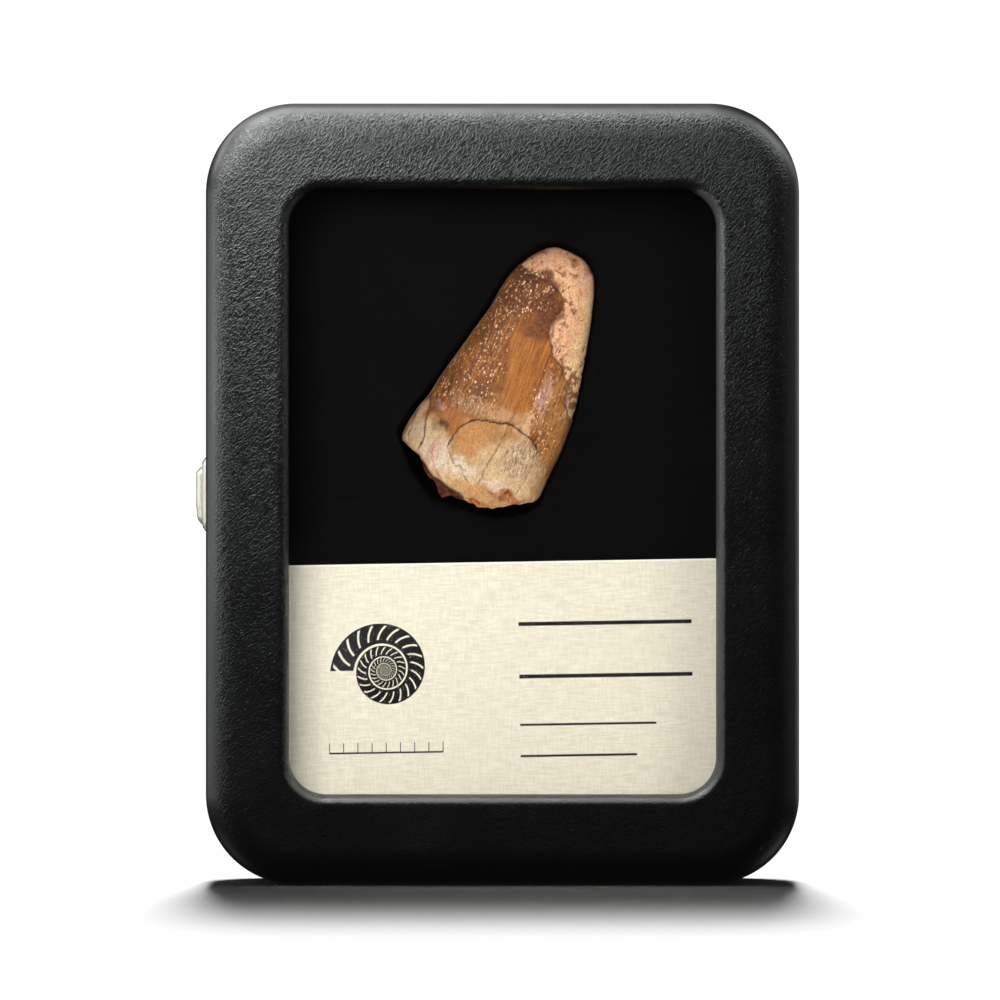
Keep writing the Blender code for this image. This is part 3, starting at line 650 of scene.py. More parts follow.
def plated(name, deep, high, outline_shade, roughness, metallic):
    """Plated metal, finely brushed along its height, a few cloudy places, and painted shade at its outline.
    """
    made = Finish(name)
    brushed = made.noise(made.object_place((9000, 9000, 700)), 1.0, 3.0, 0.6)
    cloudy = made.noise(made.object_place((600, 600, 600)), 1.0, 2.0, 0.5)
    shade = made.mix(cloudy, deep, high)
    return made.finished(
        # Painted shade: the colour darkens towards the outline, where the surface turns from the view
        Base_Color=made.mix(made.level(made.grazing(), 0.5, 0.85, 0.0, 0.9), shade, outline_shade),
        Metallic=metallic,
        Roughness=made.level(brushed, 0.3, 0.7, *roughness),
        Specular_IOR_Level=0.2,
        Normal=made.bump(brushed, 0.006),
    )


# The case


def outline(width, height, radius, steps):
    """Points round a rectangle with round corners, and the direction out of it at each."""
    corner_steps, *side_steps = steps
    middles = np.array([width / 2 - radius, height / 2 - radius]) * ((1, 1), (-1, 1), (-1, -1), (1, -1))
    points, directions = [], []
    for k, middle in enumerate(middles):
        turns = math.pi / 2 * (k + np.linspace(0, 1, corner_steps + 1))
        spokes = join(np.cos(turns), np.sin(turns))
        straight = np.linspace(middle, middles[(k + 1) % 4], side_steps[k % 2], endpoint=False)
        points += [middle + radius * spokes[:-1], straight + radius * spokes[-1]]
        directions += [spokes[:-1], np.broadcast_to(spokes[-1], straight.shape)]
    return np.concatenate(points), np.concatenate(directions)


class Sweep:
    """Rings of one case half, given by how far inside the case's outline and how deep each point is."""

    def __init__(self, steps):
        self.case_line, self.case_out = outline(CASE_WIDTH, CASE_HEIGHT, CASE_CORNER, steps)
        self.window_line, self.window_out = outline(WINDOW_WIDTH, WINDOW_HEIGHT, WINDOW_CORNER, steps)
        self.case_line[:, 1] += MID_Z
        self.window_line[:, 1] += WINDOW_MID_Z
        self.rings = []
        self.grain = []
        self.roll = []

        z = self.case_line[:, 1]
        on_right = step_up(self.case_out[:, 0], 0.9, 1.0)
        in_groove = step_up(z, *GROOVE_ENDS) * step_up(CASE_HEIGHT - z, *GROOVE_ENDS) * on_right
        self.edge = SEAM_EDGE + (HINGE_EDGE - SEAM_EDGE) * in_groove
        run = np.minimum(self.edge, WALL - 0.1 * MM)
        self.edge_turn = np.arccos(1 - run / self.edge)

    def add(self, flat, y, grain=1.0, roll=0.0):
        self.rings.append(join(flat[:, 0], np.broadcast_to(y, len(flat)), flat[:, 1]))
        self.grain.append(np.full(len(flat), grain))
        self.roll.append(np.full(len(flat), roll))

    def case(self, inset, y, grain=1.0):
        inset = np.broadcast_to(inset, len(self.case_line))[:, None]
        self.add(self.case_line - inset * self.case_out, y, grain)

    def window(self, outset, y, grain=1.0, roll=1.0):
        flat = self.window_line + outset * self.window_out
        across, up = flat[:, 0] / WINDOW_WIDTH, (flat[:, 1] - WINDOW_MID_Z) / WINDOW_HEIGHT
        # The roll's share of painted highlight: full on its right and lower sides, weaker on its left
        highlight_share = np.maximum(step_up(across, *ROLL_HIGHLIGHT_STEP), step_up(-up, *ROLL_HIGHLIGHT_STEP))
        highlight_share = np.maximum(highlight_share, ROLL_HIGHLIGHT_LEFT * step_up(-across, *ROLL_HIGHLIGHT_STEP))
        self.add(flat, y, grain, roll * highlight_share)

    def seam_y(self, side, turn):
        return SEAM_Y + side * (GAP / 2 + self.edge * (1 - np.sin(turn)))

    def seam_edge(self, side, steps, outwards):
        """The round edge at the seam, on the +Y or -Y side, from the rim outwards or the other way."""
        shares = np.linspace(0, 1, steps)
        for share in shares[::-1] if outwards else shares:
            turn = self.edge_turn * share
            self.case(self.edge * (1 - np.cos(turn)), self.seam_y(side, turn))

    def wall(self, y_from, y_to, steps):
        for share in np.linspace(0, 1, steps + 2)[1:-1]:
            self.case(0, y_from + (y_to - y_from) * share)

    def grained(self, first, last):
        """The rings, softly waved from first to last."""
        rings = np.array(self.rings)
        part = rings[first:last]
        waves = soft_noise(part / (WAVE_SIZE * MM), 5) - 1
        depth = WAVE_DEPTH / 2 * MM * waves * np.array(self.grain)[first:last]
        normal = outward(part)
        middle_row = len(part) // 2
        probe = part[middle_row, 0] - np.array([0.0, 0.0, MID_Z])
        if np.dot(normal[middle_row, 0], probe) < 0:
            normal = -normal
        rings[first:last] = part + normal * depth[..., None]
        return rings


def case_piece(name, sweep, rings, joined, lined, finishes):
    """The object of one case half. Its grain is flatter towards the lower right, and darker there as painted
    shade.
    """
    flat = rings.reshape(-1, 3)
    across, up = rings[..., 0] / RIGHT_X, rings[..., 2] / MID_Z - 1
    kept = np.clip(GRAIN_MIDDLE + GRAIN_FALL * up - GRAIN_FALL_ACROSS * across, *GRAIN_KEPT)
    masks = {"grain": np.array(sweep.grain) * kept, "roll": np.array(sweep.roll)}
    half = new_piece(name, flat, ring_faces(len(rings), rings.shape[1], joined), finishes, flat / MM, masks)
    inside = np.zeros(len(half.data.polygons), dtype=np.int32)
    for faces in lined:
        inside[faces] = 1
    half.data.polygons.foreach_set("material_index", inside)
    return half


def barrel_room(name):
    """Room for the hinge's barrel between the two case halves."""
    turns = np.linspace(0, math.tau, 40, endpoint=False)
    radius = KNUCKLE_RADIUS + GAP
    ends = (HINGE_LOW - GAP, HINGE_HIGH + GAP)
    return plain_solid(name, [
        [(HINGE_X + radius * math.cos(t), SEAM_Y + radius * math.sin(t), z) for t in turns] for z in ends
    ])


def clasp_room(name, length, width, corner, x_to):
    """Room for a piece of the clasp, from outside the left wall in to x_to."""
    line, _ = outline(width + 2 * GAP, length + 2 * GAP, corner + GAP, (6, 1, 1))
    ends = (LEFT_X - 2 * MM, x_to)
    return plain_solid(name, [[(x, y + CLASP_Y, z + CLASP_Z) for y, z in line] for x in ends])


def make_lid(leather, inner):
    """The padded front frame with its rolled inner edge."""
    sweep = Sweep(LID_STEPS)
    sweep.window(0, PLATE_Y, 0.3)
    for turn in np.linspace(0, math.pi / 2, 8):
        outset = ROLL * (1 - math.cos(turn))
        sweep.window(outset, LIP_Y - ROLL_DEPTH * math.sin(turn), 0.8, 1 - outset / ROLL)
    roll_end = sweep.window_line + ROLL * sweep.window_out
    edge_start = sweep.case_line - FRONT_EDGE * sweep.case_out
    front_steps = 20
    for k in range(1, front_steps):
        share = k / front_steps
        sweep.add(roll_end + (edge_start - roll_end) * share, FRONT_Y + CROWN * (share / 2) ** 2)
    for turn in np.linspace(math.pi / 2, 0, 26):
        inward = FRONT_EDGE * (1 - math.cos(turn))
        crown = CROWN * (1 - inward / FRONT_EDGE / 2) ** 2
        sweep.case(inward, FRONT_Y + FRONT_EDGE_DEPTH * (1 - math.sin(turn)) + crown,
                   float(step_up(inward, *SMOOTH_BAND)))
    wall_y = FRONT_Y + FRONT_EDGE_DEPTH + CROWN
    sweep.wall(wall_y, SEAM_Y - GAP / 2 - sweep.edge, 11)
    sweep.seam_edge(-1, 5, outwards=False)
    last = len(sweep.rings)
    sweep.case(WALL, sweep.rings[-1][:, 1], 0.0)
    sweep.case(WALL, PLATE_Y, 0.0)
    lined = slice((last - 1) * len(sweep.case_line), None)
    lid = case_piece("padded_lid", sweep, sweep.grained(1, last), True, (lined,), (leather, inner))
    carve(lid, barrel_room("lid_barrel_room"))
    return lid


def make_base(leather, inner):
    """The tray with its round edges, the room for the hinge and the hole for the clasp."""
    sweep = Sweep(TRAY_STEPS)
    sweep.case(WALL, FLOOR_Y, 0.0)
    sweep.case(WALL, sweep.seam_y(1, sweep.edge_turn), 0.0)
    first = len(sweep.rings)
    sweep.seam_edge(1, 5, outwards=True)
    sweep.wall(SEAM_Y + GAP / 2 + sweep.edge, BACK_Y - BACK_EDGE, 24)
    for turn in np.linspace(0, math.pi / 2, 12):
        sweep.case(BACK_EDGE * (1 - math.cos(turn)), BACK_Y - BACK_EDGE * (1 - math.sin(turn)))
    edge_end = sweep.case_line - BACK_EDGE * sweep.case_out
    middle = np.array([0.0, MID_Z])
    back_steps = 44
    for k in range(1, back_steps):
        sweep.add(middle + (edge_end - middle) * (1 - k / back_steps), BACK_Y)
    rings = sweep.grained(first, len(sweep.rings))
    lined = (slice(first * len(sweep.case_line)), -2)
    base = case_piece("leatherette_tray", sweep, rings, False, lined, (leather, inner))
    carve(
        base,
        barrel_room("tray_barrel_room"),
        clasp_room("bezel_room", BEZEL_LENGTH, BEZEL_WIDTH, BEZEL_CORNER, LEFT_X + BEZEL_SUNK + GAP),
        clasp_room("button_room", BUTTON_LENGTH, BUTTON_WIDTH, BUTTON_CORNER, LEFT_X + 2 * WALL),
    )
    return base


# The clasp


def clasp_piece(name, outlines, finish, joined):
    """Rings of rounded rectangles on the left wall: how far inside a size each is, and how far proud."""
    rings = []
    for (length, width, corner, drop), inset, proud in outlines:
        line, _ = outline(width - 2 * inset, length - 2 * inset, max(corner - inset, 0.15 * MM), CLASP_STEPS)
        low = np.clip(-line[:, 1] / (length / 2) - WEAR_START, 0.0, WEAR_MOST)
        x = LEFT_X - proud + BUTTON_WEAR * low * step_up(proud, GAP, BUTTON_PROUD)
        rings.append(join(x, line[:, 0] + CLASP_Y, line[:, 1] + CLASP_Z - drop))
    points = np.concatenate(rings)
    faces = ring_faces(len(rings), len(rings[0]), joined)
    return new_piece(name, points, faces, (finish,), points / MM, sharp_angle=40)


def make_bezel(nickel):
    """The clasp's plate, which slopes up from the wall to the button."""
    plate = (BEZEL_LENGTH, BEZEL_WIDTH, BEZEL_CORNER, 0.0)
    hole = (BUTTON_LENGTH, BUTTON_WIDTH, BUTTON_CORNER, BUTTON_DROP)
    profile = (
        (0.0, -0.3), (0.0, 0.12), (0.05, 0.26), (0.18, 0.42), (0.45, 0.64), (0.70, 0.80), (0.84, 0.86),
        (0.90, 0.84),
    )
    rings = [(plate, inset * MM, proud * MM) for inset, proud in profile]
    rings += [(hole, -GAP, 0.78 * MM), (hole, -GAP, -BEZEL_SUNK)]
    return clasp_piece("nickel_bezel", rings, nickel, True)


def make_button(nickel):
    """The push button with rounded sides, and the flange behind the wall that keeps it in."""
    stem = (BUTTON_LENGTH, BUTTON_WIDTH, BUTTON_CORNER, BUTTON_DROP)
    behind = -WALL - GAP
    profile = (
        (0.0, 0.86), (0.03, 0.98), (0.10, 1.12), (0.40, 1.44), (0.56, 1.58), (0.74, 1.68), (0.95, 1.73),
        (1.25, 1.75), (1.6, 1.75),
    )
    rings = [(stem, -FLANGE_MARGIN, behind - FLANGE_THICKNESS), (stem, -FLANGE_MARGIN, behind)]
    rings += [(stem, 0.0, behind)] + [(stem, inset * MM, proud * MM) for inset, proud in profile]
    return clasp_piece("nickel_button", rings, nickel, False)


# The tooth


def along_tooth(points, v):
    """smooth_line by the root of the distance from the tip, so that the tip comes out round."""
    by_root = [(math.sqrt(at - TIP_V), value) for at, value in points]
    return smooth_line(by_root, np.sqrt(np.maximum(v - TIP_V, 0.0)))


def place_tooth(u, depth, v):
    """From the tooth's own millimetres to the case."""
    lean_cos, lean_sin = math.cos(TOOTH_LEAN), math.sin(TOOTH_LEAN)
    x = TIP_X + (u * lean_cos - v * lean_sin) * MM
    y = TOOTH_MID_Y + depth * MM
    z = TIP_Z - (u * lean_sin + v * lean_cos) * MM
    return join(x, y, z)


def patches(name, u, v):
    """The strongest of a colour's soft patches at each place."""
    strongest = np.zeros(np.broadcast(u, v).shape)
    for mid_u, mid_v, across, along, strength, *turned in PATCHES[name]:
        turn = sum(turned)
        du, dv = u - mid_u, v - mid_v
        turned_u = du * math.cos(turn) + dv * math.sin(turn)
        turned_v = dv * math.cos(turn) - du * math.sin(turn)
        far = np.hypot(turned_u / across, turned_v / along)
        strongest = np.maximum(strongest, strength * (1 - step_up(far, 0.55, 1.3)))
    return strongest


def tooth_masks(u, v, front):
    """Where the tooth is flaked, cracked, broken and stained, from 0 to 1 at each point."""
    flat = join(u, v)
    ragged = lumps(flat, (0.35, 1.1, 21), (0.16, 3.3, 22))
    bent_u = u + lumps(flat, (0.7, 0.7, 23), (0.25, 2.6, 24))
    bent_v = v + lumps(flat, (0.9, 0.6, 25), (0.30, 2.2, 26))
    masks = {name: patches(name, bent_u, bent_v) * front for name in PATCHES}
    left_flank = step_up(v, 2.5, 4.5) * (1 - step_up(v, 24.0, 27.5)) * (1 - step_up(bent_u + 2.5, -0.9, 0.9))
    right_flank = step_up(v, 17.0, 19.5) * (1 - step_up(v, 30.0, 33.5)) * step_up(bent_u, 4.0, 5.4)
    # Pale specks, partly painted glints, strongest on the left flank
    strongest = np.maximum(0.8 * left_flank, 0.4 * right_flank) * front
    masks["specked_and_glinting"] = np.maximum(masks["specked_and_glinting"], strongest)

    past_edge = u - along_tooth(FLAKED_EDGE, v)
    masks["flaked"] = step_up(past_edge + ragged, 0.0, 0.3)
    masks["ledge"] = np.exp(-((past_edge + ragged) / 0.22) ** 2) * front
    along_edge = np.exp(-((past_edge - 1.1) / 1.3) ** 2) * step_up(v, 4.0, 8.0)
    pits = lumps(flat, (1.0, 2.3, 31), (0.6, 5.2, 33), (0.9, 0.42, 37)) + 0.45 * along_edge
    masks["pit"] = step_up(pits, 0.9, 1.15) * masks["flaked"]
    below = v - smooth_line(ENAMEL_EDGE, u) + 0.5 * ragged
    masks["core"] = step_up(below, 0.0, 0.35) * front

    wander_u = u + lumps(flat, (0.12, 1.9, 27))
    wander_v = v + lumps(flat, (0.12, 1.9, 28))
    from_arch = line_distance(wander_u, wander_v, ARCH_REGION + ARCH_REGION[:1])
    from_arch = np.where(inside_line(wander_u, wander_v, ARCH_REGION), from_arch, -from_arch)
    masks["arch"] = step_up(from_arch, -0.1, 0.15) * front
    masks["crack"] = np.zeros(u.shape)
    thin = 0.75 + lumps(flat, (0.45, 1.3, 30))
    for points, width, strength in CRACKS:
        far = line_distance(wander_u, wander_v, points) / thin
        line = strength * (1 - step_up(far, 0.5 * width, 1.5 * width))
        masks["crack"] = np.maximum(masks["crack"], line * front)
    vein = 1 - step_up(line_distance(wander_u, wander_v, RED_VEIN), 0.05, 0.28)
    masks["vein"] = vein * front * (0.7 + lumps(flat, (0.4, 2.0, 29)))
    return masks


def tooth_relief(u, v, angle, masks):
    """How far the tooth's surface stands out from its plain form, in millimetres."""
    sound = (1 - masks["flaked"]) * (1 - masks["core"])
    fluted = step_up(v, *FLUTES_GROW) * (1 - step_up(v, *FLUTES_FADE))
    relief = FLUTE_DEPTH * np.cos(FLUTES * angle) * fluted
    for height, around, along, seed in RIDGES:
        relief = relief + sound * height * soft_noise(join(angle * around, v * along), seed)
    for mark, depth in SUNK.items():
        relief = relief - depth * masks[mark]
    for mark, *layer in LUMPS:
        relief = relief + masks.get(mark, 1.0) * lumps(join(u, v), layer)
    return relief


def broken_end(angle):
    """How far down the side runs before the break, at each angle round the tooth."""
    u = (LEFT_SIDE[-2][1] + RIGHT_SIDE[-2][1]) / 2 + BREAK_HALF_WIDTH * np.cos(angle)
    front = smooth_line(BROKEN_EDGE, u)
    back = front - BACK_BREAK + BACK_WAVE * np.sin(1.5 * u)
    share = step_up(np.sin(angle), -0.3, 0.3)
    chips = 0.22 * soft_noise(join(u * 1.5, np.sin(angle)), 51)
    return front * share + back * (1 - share) + chips


def make_tooth(enamel):
    """The worn, flaked and cracked tooth with its hollow broken end."""
    front_columns, back_columns, rows_down, cap_rows, row_spread = 244, 76, 284, 12, 0.62
    angle = np.concatenate([
        np.linspace(0, math.pi, front_columns, endpoint=False),
        np.linspace(math.pi, math.tau, back_columns, endpoint=False),
    ])
    end = broken_end(angle)
    turn = row_spread * math.pi / 2
    share = (np.sin(turn * np.arange(1, rows_down + 1) / rows_down) / math.sin(turn)) ** 2
    v = TIP_V + (end - TIP_V)[None, :] * share[:, None]
    angle = np.broadcast_to(angle, v.shape)

    left = along_tooth(LEFT_SIDE, v) - SIDE_SPARE * (1 - step_up(v, 22.0, 28.0))
    right = along_tooth(RIGHT_SIDE, v) + SIDE_SPARE
    thick = along_tooth(HALF_THICKNESS, v)
    across, out = np.cos(angle), -np.sin(angle)
    u = (left + right) / 2 + (right - left) / 2 * across
    front = step_up(-out, -0.05, 0.2)
    masks = tooth_masks(u, v, front)
    inwards = step_up(thick, 0.0, 3.0) * tooth_relief(u, v, angle, masks)
    u = u + inwards * across * FLANK_SHARE
    setback = TIP_SETBACK * np.maximum(1 - v / SETBACK_END, 0.0) ** 2
    depth = (thick + inwards) * out + setback
    masks = {name: np.broadcast_to(values, v.shape) for name, values in masks.items()}

    rim = join(u[-1], depth[-1], v[-1])
    middle = rim.mean(axis=0)
    cap = []
    for k in range(1, cap_rows + 1):
        part = 1 - k / (cap_rows + 1)
        ring = middle + (rim - middle) * part
        uneven = lumps(ring, (0.5, 0.9, 52), (0.25, 2.2, 53)) * (1 - part**4)
        ring[:, 2] = rim[:, 2] * part**2 + (middle[2] - HOLLOW_DEPTH * (1 - part**2)) * (1 - part**2)
        ring[:, 2] += uneven
        cap.append(ring)

    form = np.concatenate([join(u, depth, v), np.array(cap)])
    tip = np.array([[TIP_U, TIP_SETBACK, TIP_V]])
    hollow = middle[None, :] - np.array([[0.0, 0.0, HOLLOW_DEPTH]])
    form = np.concatenate([tip, form.reshape(-1, 3), hollow])
    cap_points = cap_rows * angle.shape[1] + 1
    attributes = {}
    for name, values in masks.items():
        fill = 1.0 if name == "core" else 0.0
        attributes[name] = np.concatenate([values[0, :1], values.ravel(), np.full(cap_points, fill)])

    count = angle.shape[1]
    faces = (np.array(ring_faces(rows_down + cap_rows, count, False)[:-2]) + 1).tolist()
    last = len(form) - 1
    for i in range(count):
        j = (i + 1) % count
        faces.append((0, 1 + j, 1 + i))
        faces.append((last, last - count + i, last - count + j))
    points = place_tooth(*form.T)
    return new_piece("crocodile_tooth", points, faces, (enamel,), form, attributes, sharp_angle=80)


def fossil_enamel():
    """Caramel enamel, stained, streaked and flecked with pale specks, over cream dentine and a rust-brown
    core.
    The specks are partly painted glints, and the pale rim along the outline is a painted highlight.
    """
    made = Finish("fossil_enamel")
    level, mask, mix, times = made.level, made.mask, made.mix, made.times
    striae = made.noise(made.place(scale=(3.4, 0.4, 0.22)), 1.0, 4.0, 0.65)
    threads = made.noise(made.place(scale=(6.5, 1.0, 0.8)), 1.0, 3.0, 0.7)
    mottle = made.noise(made.place(), 0.9, 5.0, 0.65)
    fine = made.noise(made.place(), 4.2, 3.0, 0.7)
    stains = made.noise(made.place(), 1.9, 4.0, 0.75)
    flaked, core = mask("flaked"), mask("core")

    shade = mix(level(striae, 0.3, 0.7), (112, 59, 19), (184, 117, 52))
    for name, pattern, deep, high in (
        ("brown", striae, (84, 42, 14), (142, 84, 36)),
        ("tan", striae, (138, 79, 28), (188, 122, 56)),
        ("arch", mottle, (146, 98, 50), (188, 140, 84)),
        ("cream", mottle, (176, 138, 92), (242, 210, 168)),
        ("grey", striae, (176, 146, 112), (232, 208, 176)),
        ("orange", mottle, (164, 104, 50), (216, 162, 100)),
        ("pale", mottle, (206, 178, 152), (242, 222, 198)),
    ):
        shade = mix(mask(name), shade, mix(pattern, deep, high))
    shade = mix(times(level(stains, 0.54, 0.66), 0.5), shade, (140, 88, 48))

    grain = level(fine, 0.3, 0.7, 0.2, 0.8)
    peach = mix(grain, (196, 142, 98), (240, 196, 156))
    yellow = mix(grain, (206, 160, 104), (242, 210, 162))
    across = made.add("SeparateXYZ", {0: made.place()}).outputs[0]
    peach = mix(level(across, 5.6, 7.4), peach, yellow)
    peach = mix(level(mottle, 0.42, 0.66, 0.0, 0.6), peach, (206, 136, 104))
    peach = mix(level(stains, 0.54, 0.66, 0.0, 0.75), peach, (162, 94, 52))
    shade = mix(flaked, shade, peach)
    shade = mix(mask("pink"), shade, mix(fine, (176, 110, 92), (232, 186, 168)))
    shade = mix(mask("dark"), shade, mix(level(stains, 0.35, 0.6), (52, 27, 17), (122, 72, 43)))

    dots = made.cells(made.warped(made.place(scale=(1.0, 0.8, 0.62)), 2.0, 0.4), 3.1)
    distance = dots.outputs["Distance"]
    size, tone, _ = made.add("SeparateXYZ", {0: dots.outputs["Color"]}).outputs
    covered = times(level(mask("specked_and_glinting"), 0.0, 0.6), level(mottle, 0.25, 0.55, 0.7, 1.1))
    # Pale specks, partly painted glints
    specks_and_glints = made.less(distance, times(times(size, 0.48), covered))
    gaps = times(level(distance, 0.3, 0.62), level(threads, 0.36, 0.6, 0.75, 0.08))
    shade = mix(times(gaps, covered), shade, (80, 45, 24))
    speck_and_glint_shade = mix(made.math("POWER", tone, 1.6), (196, 138, 88), (250, 220, 188))
    shade = mix(times(specks_and_glints, 0.9), shade, speck_and_glint_shade)

    rust = mix(level(stains, 0.4, 0.6), (112, 48, 18), (184, 104, 46))
    shade = mix(times(mask("rust"), level(mottle, 0.2, 0.5)), shade, rust)
    core_shade = mix(level(stains, 0.35, 0.65), (48, 22, 12), (128, 70, 42))
    for name, strength, over in (
        ("vein", 0.75, (184, 92, 80)), ("core", 1.0, core_shade), ("ledge", 0.6, (88, 48, 28)),
        ("pit", 0.85, (112, 62, 38)), ("crack", 0.95, (56, 34, 27)),
    ):
        shade = mix(times(mask(name), strength), shade, over)

    grit = level(fine, 0.3, 0.7, times(flaked, 0.18, 0.74), 1.14)
    grit = times(grit, level(threads, 0.3, 0.7, 0.84, 1.1))
    shade = made.add("VectorMath", {0: shade, "Scale": grit}, operation="SCALE").outputs[0]
    # Painted highlight: a pale rim where the tooth turns from the view, except on the core
    rim = times(level(made.grazing(), 0.74, 0.97, 0.0, 0.8), made.math("SUBTRACT", 1.0, core))
    height = times(specks_and_glints, 0.5, times(threads, 0.6, times(fine, 0.7)))
    return made.finished(
        Base_Color=mix(rim, shade, (240, 218, 202)),
        Roughness=times(core, 0.3, times(flaked, 0.15, level(mottle, 0.3, 0.7, 0.36, 0.5))),
        Specular_IOR_Level=0.4,
        Normal=made.bump(height, 0.06),
    )


# The foam


def pocket_line():
    """The outline of the pocket that is cut in the foam round the tooth, in the tooth's millimetres."""
    sides = [v for v, _ in LEFT_SIDE[1:-1]]
    left = [(float(along_tooth(LEFT_SIDE, v)), v) for v in reversed(sides)]
    right = [(float(along_tooth(RIGHT_SIDE, v)), v) for v in sides]
    return left + [(TIP_U, TIP_V)] + right + list(POCKET_BASE)


def slab(x, y, z, pressed, back_y):
    """The points and faces of a slab from the grid of its front, whose outermost lines are pressed back."""
    for k, edge_y in enumerate(pressed):
        for line in (y[k, :], y[-1 - k, :], y[:, k], y[:, -1 - k]):
            line[:] = np.maximum(line, edge_y)
    index = np.arange(y.size).reshape(y.shape)
    faces = join(index[:-1, :-1], index[:-1, 1:], index[1:, 1:], index[1:, :-1]).reshape(-1, 4).tolist()
    border = np.concatenate([index[0, :-1], index[:-1, -1], index[-1, :0:-1], index[:0:-1, 0]])
    far = np.arange(len(border)) + y.size
    faces += join(border, np.roll(border, -1), np.roll(far, -1), far).tolist()
    faces.append(far.tolist())
    front = join(x, y, z).reshape(-1, 3)
    back = front[border].copy()
    back[:, 1] = back_y
    return np.concatenate([front, back]), faces


def rounded_grid(width, height, radius, grid, edge):
    """A grid over a rectangle with round corners. Its first and last lines lie close together at edge."""
    columns, rows = grid

    def spread(length, count):
        inner = np.linspace(-length / 2 + 3 * edge, length / 2 - 3 * edge, count - 6)
        rim = -length / 2 + np.array([0.0, edge, 2 * edge])
        return np.concatenate([rim, inner, -rim[::-1]])

    z = spread(height, rows)[:, None]
    x = spread(width, columns)[None, :] / (width / 2)
    past = np.clip(np.abs(z) - (height / 2 - radius), 0.0, radius)
    half = width / 2 - radius + np.sqrt(np.maximum(radius**2 - past**2, 0.0))
    return x * half, np.broadcast_to(z, (rows, columns)).copy()


def foam_depth(x, z):
    """How deep the foam's face lies at each place, in metres: flat, with the tooth's soft pocket in it."""
    dx, dz = (x - TIP_X) / MM, (z - TIP_Z) / MM
    u = dx * math.cos(TOOTH_LEAN) - dz * math.sin(TOOTH_LEAN)
    v = -dx * math.sin(TOOTH_LEAN) - dz * math.cos(TOOTH_LEAN)
    line = pocket_line()
    far = line_distance(u, v, line + line[:1])
    inward = np.where(inside_line(u, v, line), far, -far) + POCKET_MARGIN

    left, right = along_tooth(LEFT_SIDE, v), along_tooth(RIGHT_SIDE, v)
    across = np.clip((2 * u - left - right) / (right - left), -1.0, 1.0)
    behind = along_tooth(HALF_THICKNESS, v) * np.sqrt(1 - across**2)
    behind = behind + TIP_SETBACK * np.maximum(1 - v / SETBACK_END, 0.0) ** 2
    bottom = TOOTH_MID_Y - FOAM_FACE_Y + (behind + POCKET_GAP) * MM
    side = step_up(inward, *POCKET_SIDE)
    soft = lumps(join(x, z) / MM, (0.06, 1 / 9.0, 61), (0.03, 1 / 0.7, 62))
    return FOAM_FACE_Y + bottom * side + (FOAM_SINK + soft) * MM * (1 - side)


def make_foam(foam):
    """The foam insert, soft at its border and round the tooth."""
    inset = WALL + GAP
    width, height = CASE_WIDTH - 2 * inset, CASE_HEIGHT - 2 * inset
    x, z = rounded_grid(width, height, CASE_CORNER - inset, FOAM_GRID, 0.25 * MM)
    z = z + MID_Z
    pressed = [FOAM_FACE_Y + drop for drop in FOAM_EDGE]
    points, faces = slab(x, foam_depth(x, z), z, pressed, FLOOR_Y - GAP)
    pad = new_piece("foam_insert", points, faces, (foam,), points / MM)
    carve(
        pad,
        upright_box(
            "leaf_room",
            (HINGE_X - KNUCKLE_RADIUS - GAP, FOAM_FACE_Y - WALL, HINGE_LOW - GAP),
            (RIGHT_X, SEAM_Y + LEAF_REACH + GAP, HINGE_HIGH + GAP),
        ),
        upright_box(
            "catch_room",
            (LEFT_X, FOAM_FACE_Y - WALL, CLASP_Z - CLASP_ROOM_Z),
            (CLASP_ROOM_X, CLASP_ROOM_Y, CLASP_Z + CLASP_ROOM_Z),
        ),
    )
    return pad


# The card


def make_card(paper):
    """The card with softly pressed edges, very slightly wavy."""
    x, z = rounded_grid(CARD_WIDTH, CARD_HEIGHT, 0.3 * MM, CARD_GRID, 0.07 * MM)
    face_y = -CARD_THICKNESS / 2
    y = face_y + (0.03 + lumps(join(x, z) / MM, (0.02, 1 / 7.0, 71))) * MM
    own, faces = slab(x, y, z, [face_y + drop for drop in CARD_EDGE], -face_y)
    x, y, z = own.T
    tilt_cos, tilt_sin = math.cos(CARD_TILT), math.sin(CARD_TILT)
    points = join(
        x * tilt_cos - z * tilt_sin,
        y + (FOAM_FACE_Y - GAP - CARD_THICKNESS / 2),
        x * tilt_sin + z * tilt_cos + CARD_TOP_Z - CARD_HEIGHT / 2,
    )
    return new_piece("linen_card", points, faces, (paper,), own / MM)


def shell_print(made, across, up):
    """Ink of a coiled shell with ribs, about its own middle in millimetres."""
    math_node, times, less = made.math, made.times, made.less
    growth, size, ribs_a_turn, rib_bend = math.log(1.9), 5.6, 21.0, 1.1
    whorl_gap, rib_start, rib_end, rib_width = 0.13, 0.34, 0.93, 0.2
    radius = math_node("SQRT", times(across, across, times(up, up)))
    turns = math_node("DIVIDE", math_node("ARCTAN2", up, across), math.tau)
    whorl = math_node("LOGARITHM", math_node("DIVIDE", radius, size), math.e)
    whorl = math_node("SUBTRACT", math_node("DIVIDE", whorl, growth), turns)
    between = math_node("FRACT", math_node("ADD", whorl, 20.0))
    body = times(less(whorl, 0.0), math_node("GREATER_THAN", between, whorl_gap))
    bend = times(times(between, between), rib_bend)
    ribs = math_node("FRACT", times(turns, ribs_a_turn, math_node("ADD", bend, 30.0)))
    ribs = times(less(ribs, rib_width), math_node("GREATER_THAN", between, rib_start))
    ribs = times(ribs, less(between, rib_end))
    return times(body, math_node("SUBTRACT", 1.0, ribs))


def bar_print(made, across, up, mid, half):
    """Ink of a plain bar."""
    within = made.less(made.apart(across, mid[0]), half[0])
    return made.times(within, made.less(made.apart(up, mid[1]), half[1]))


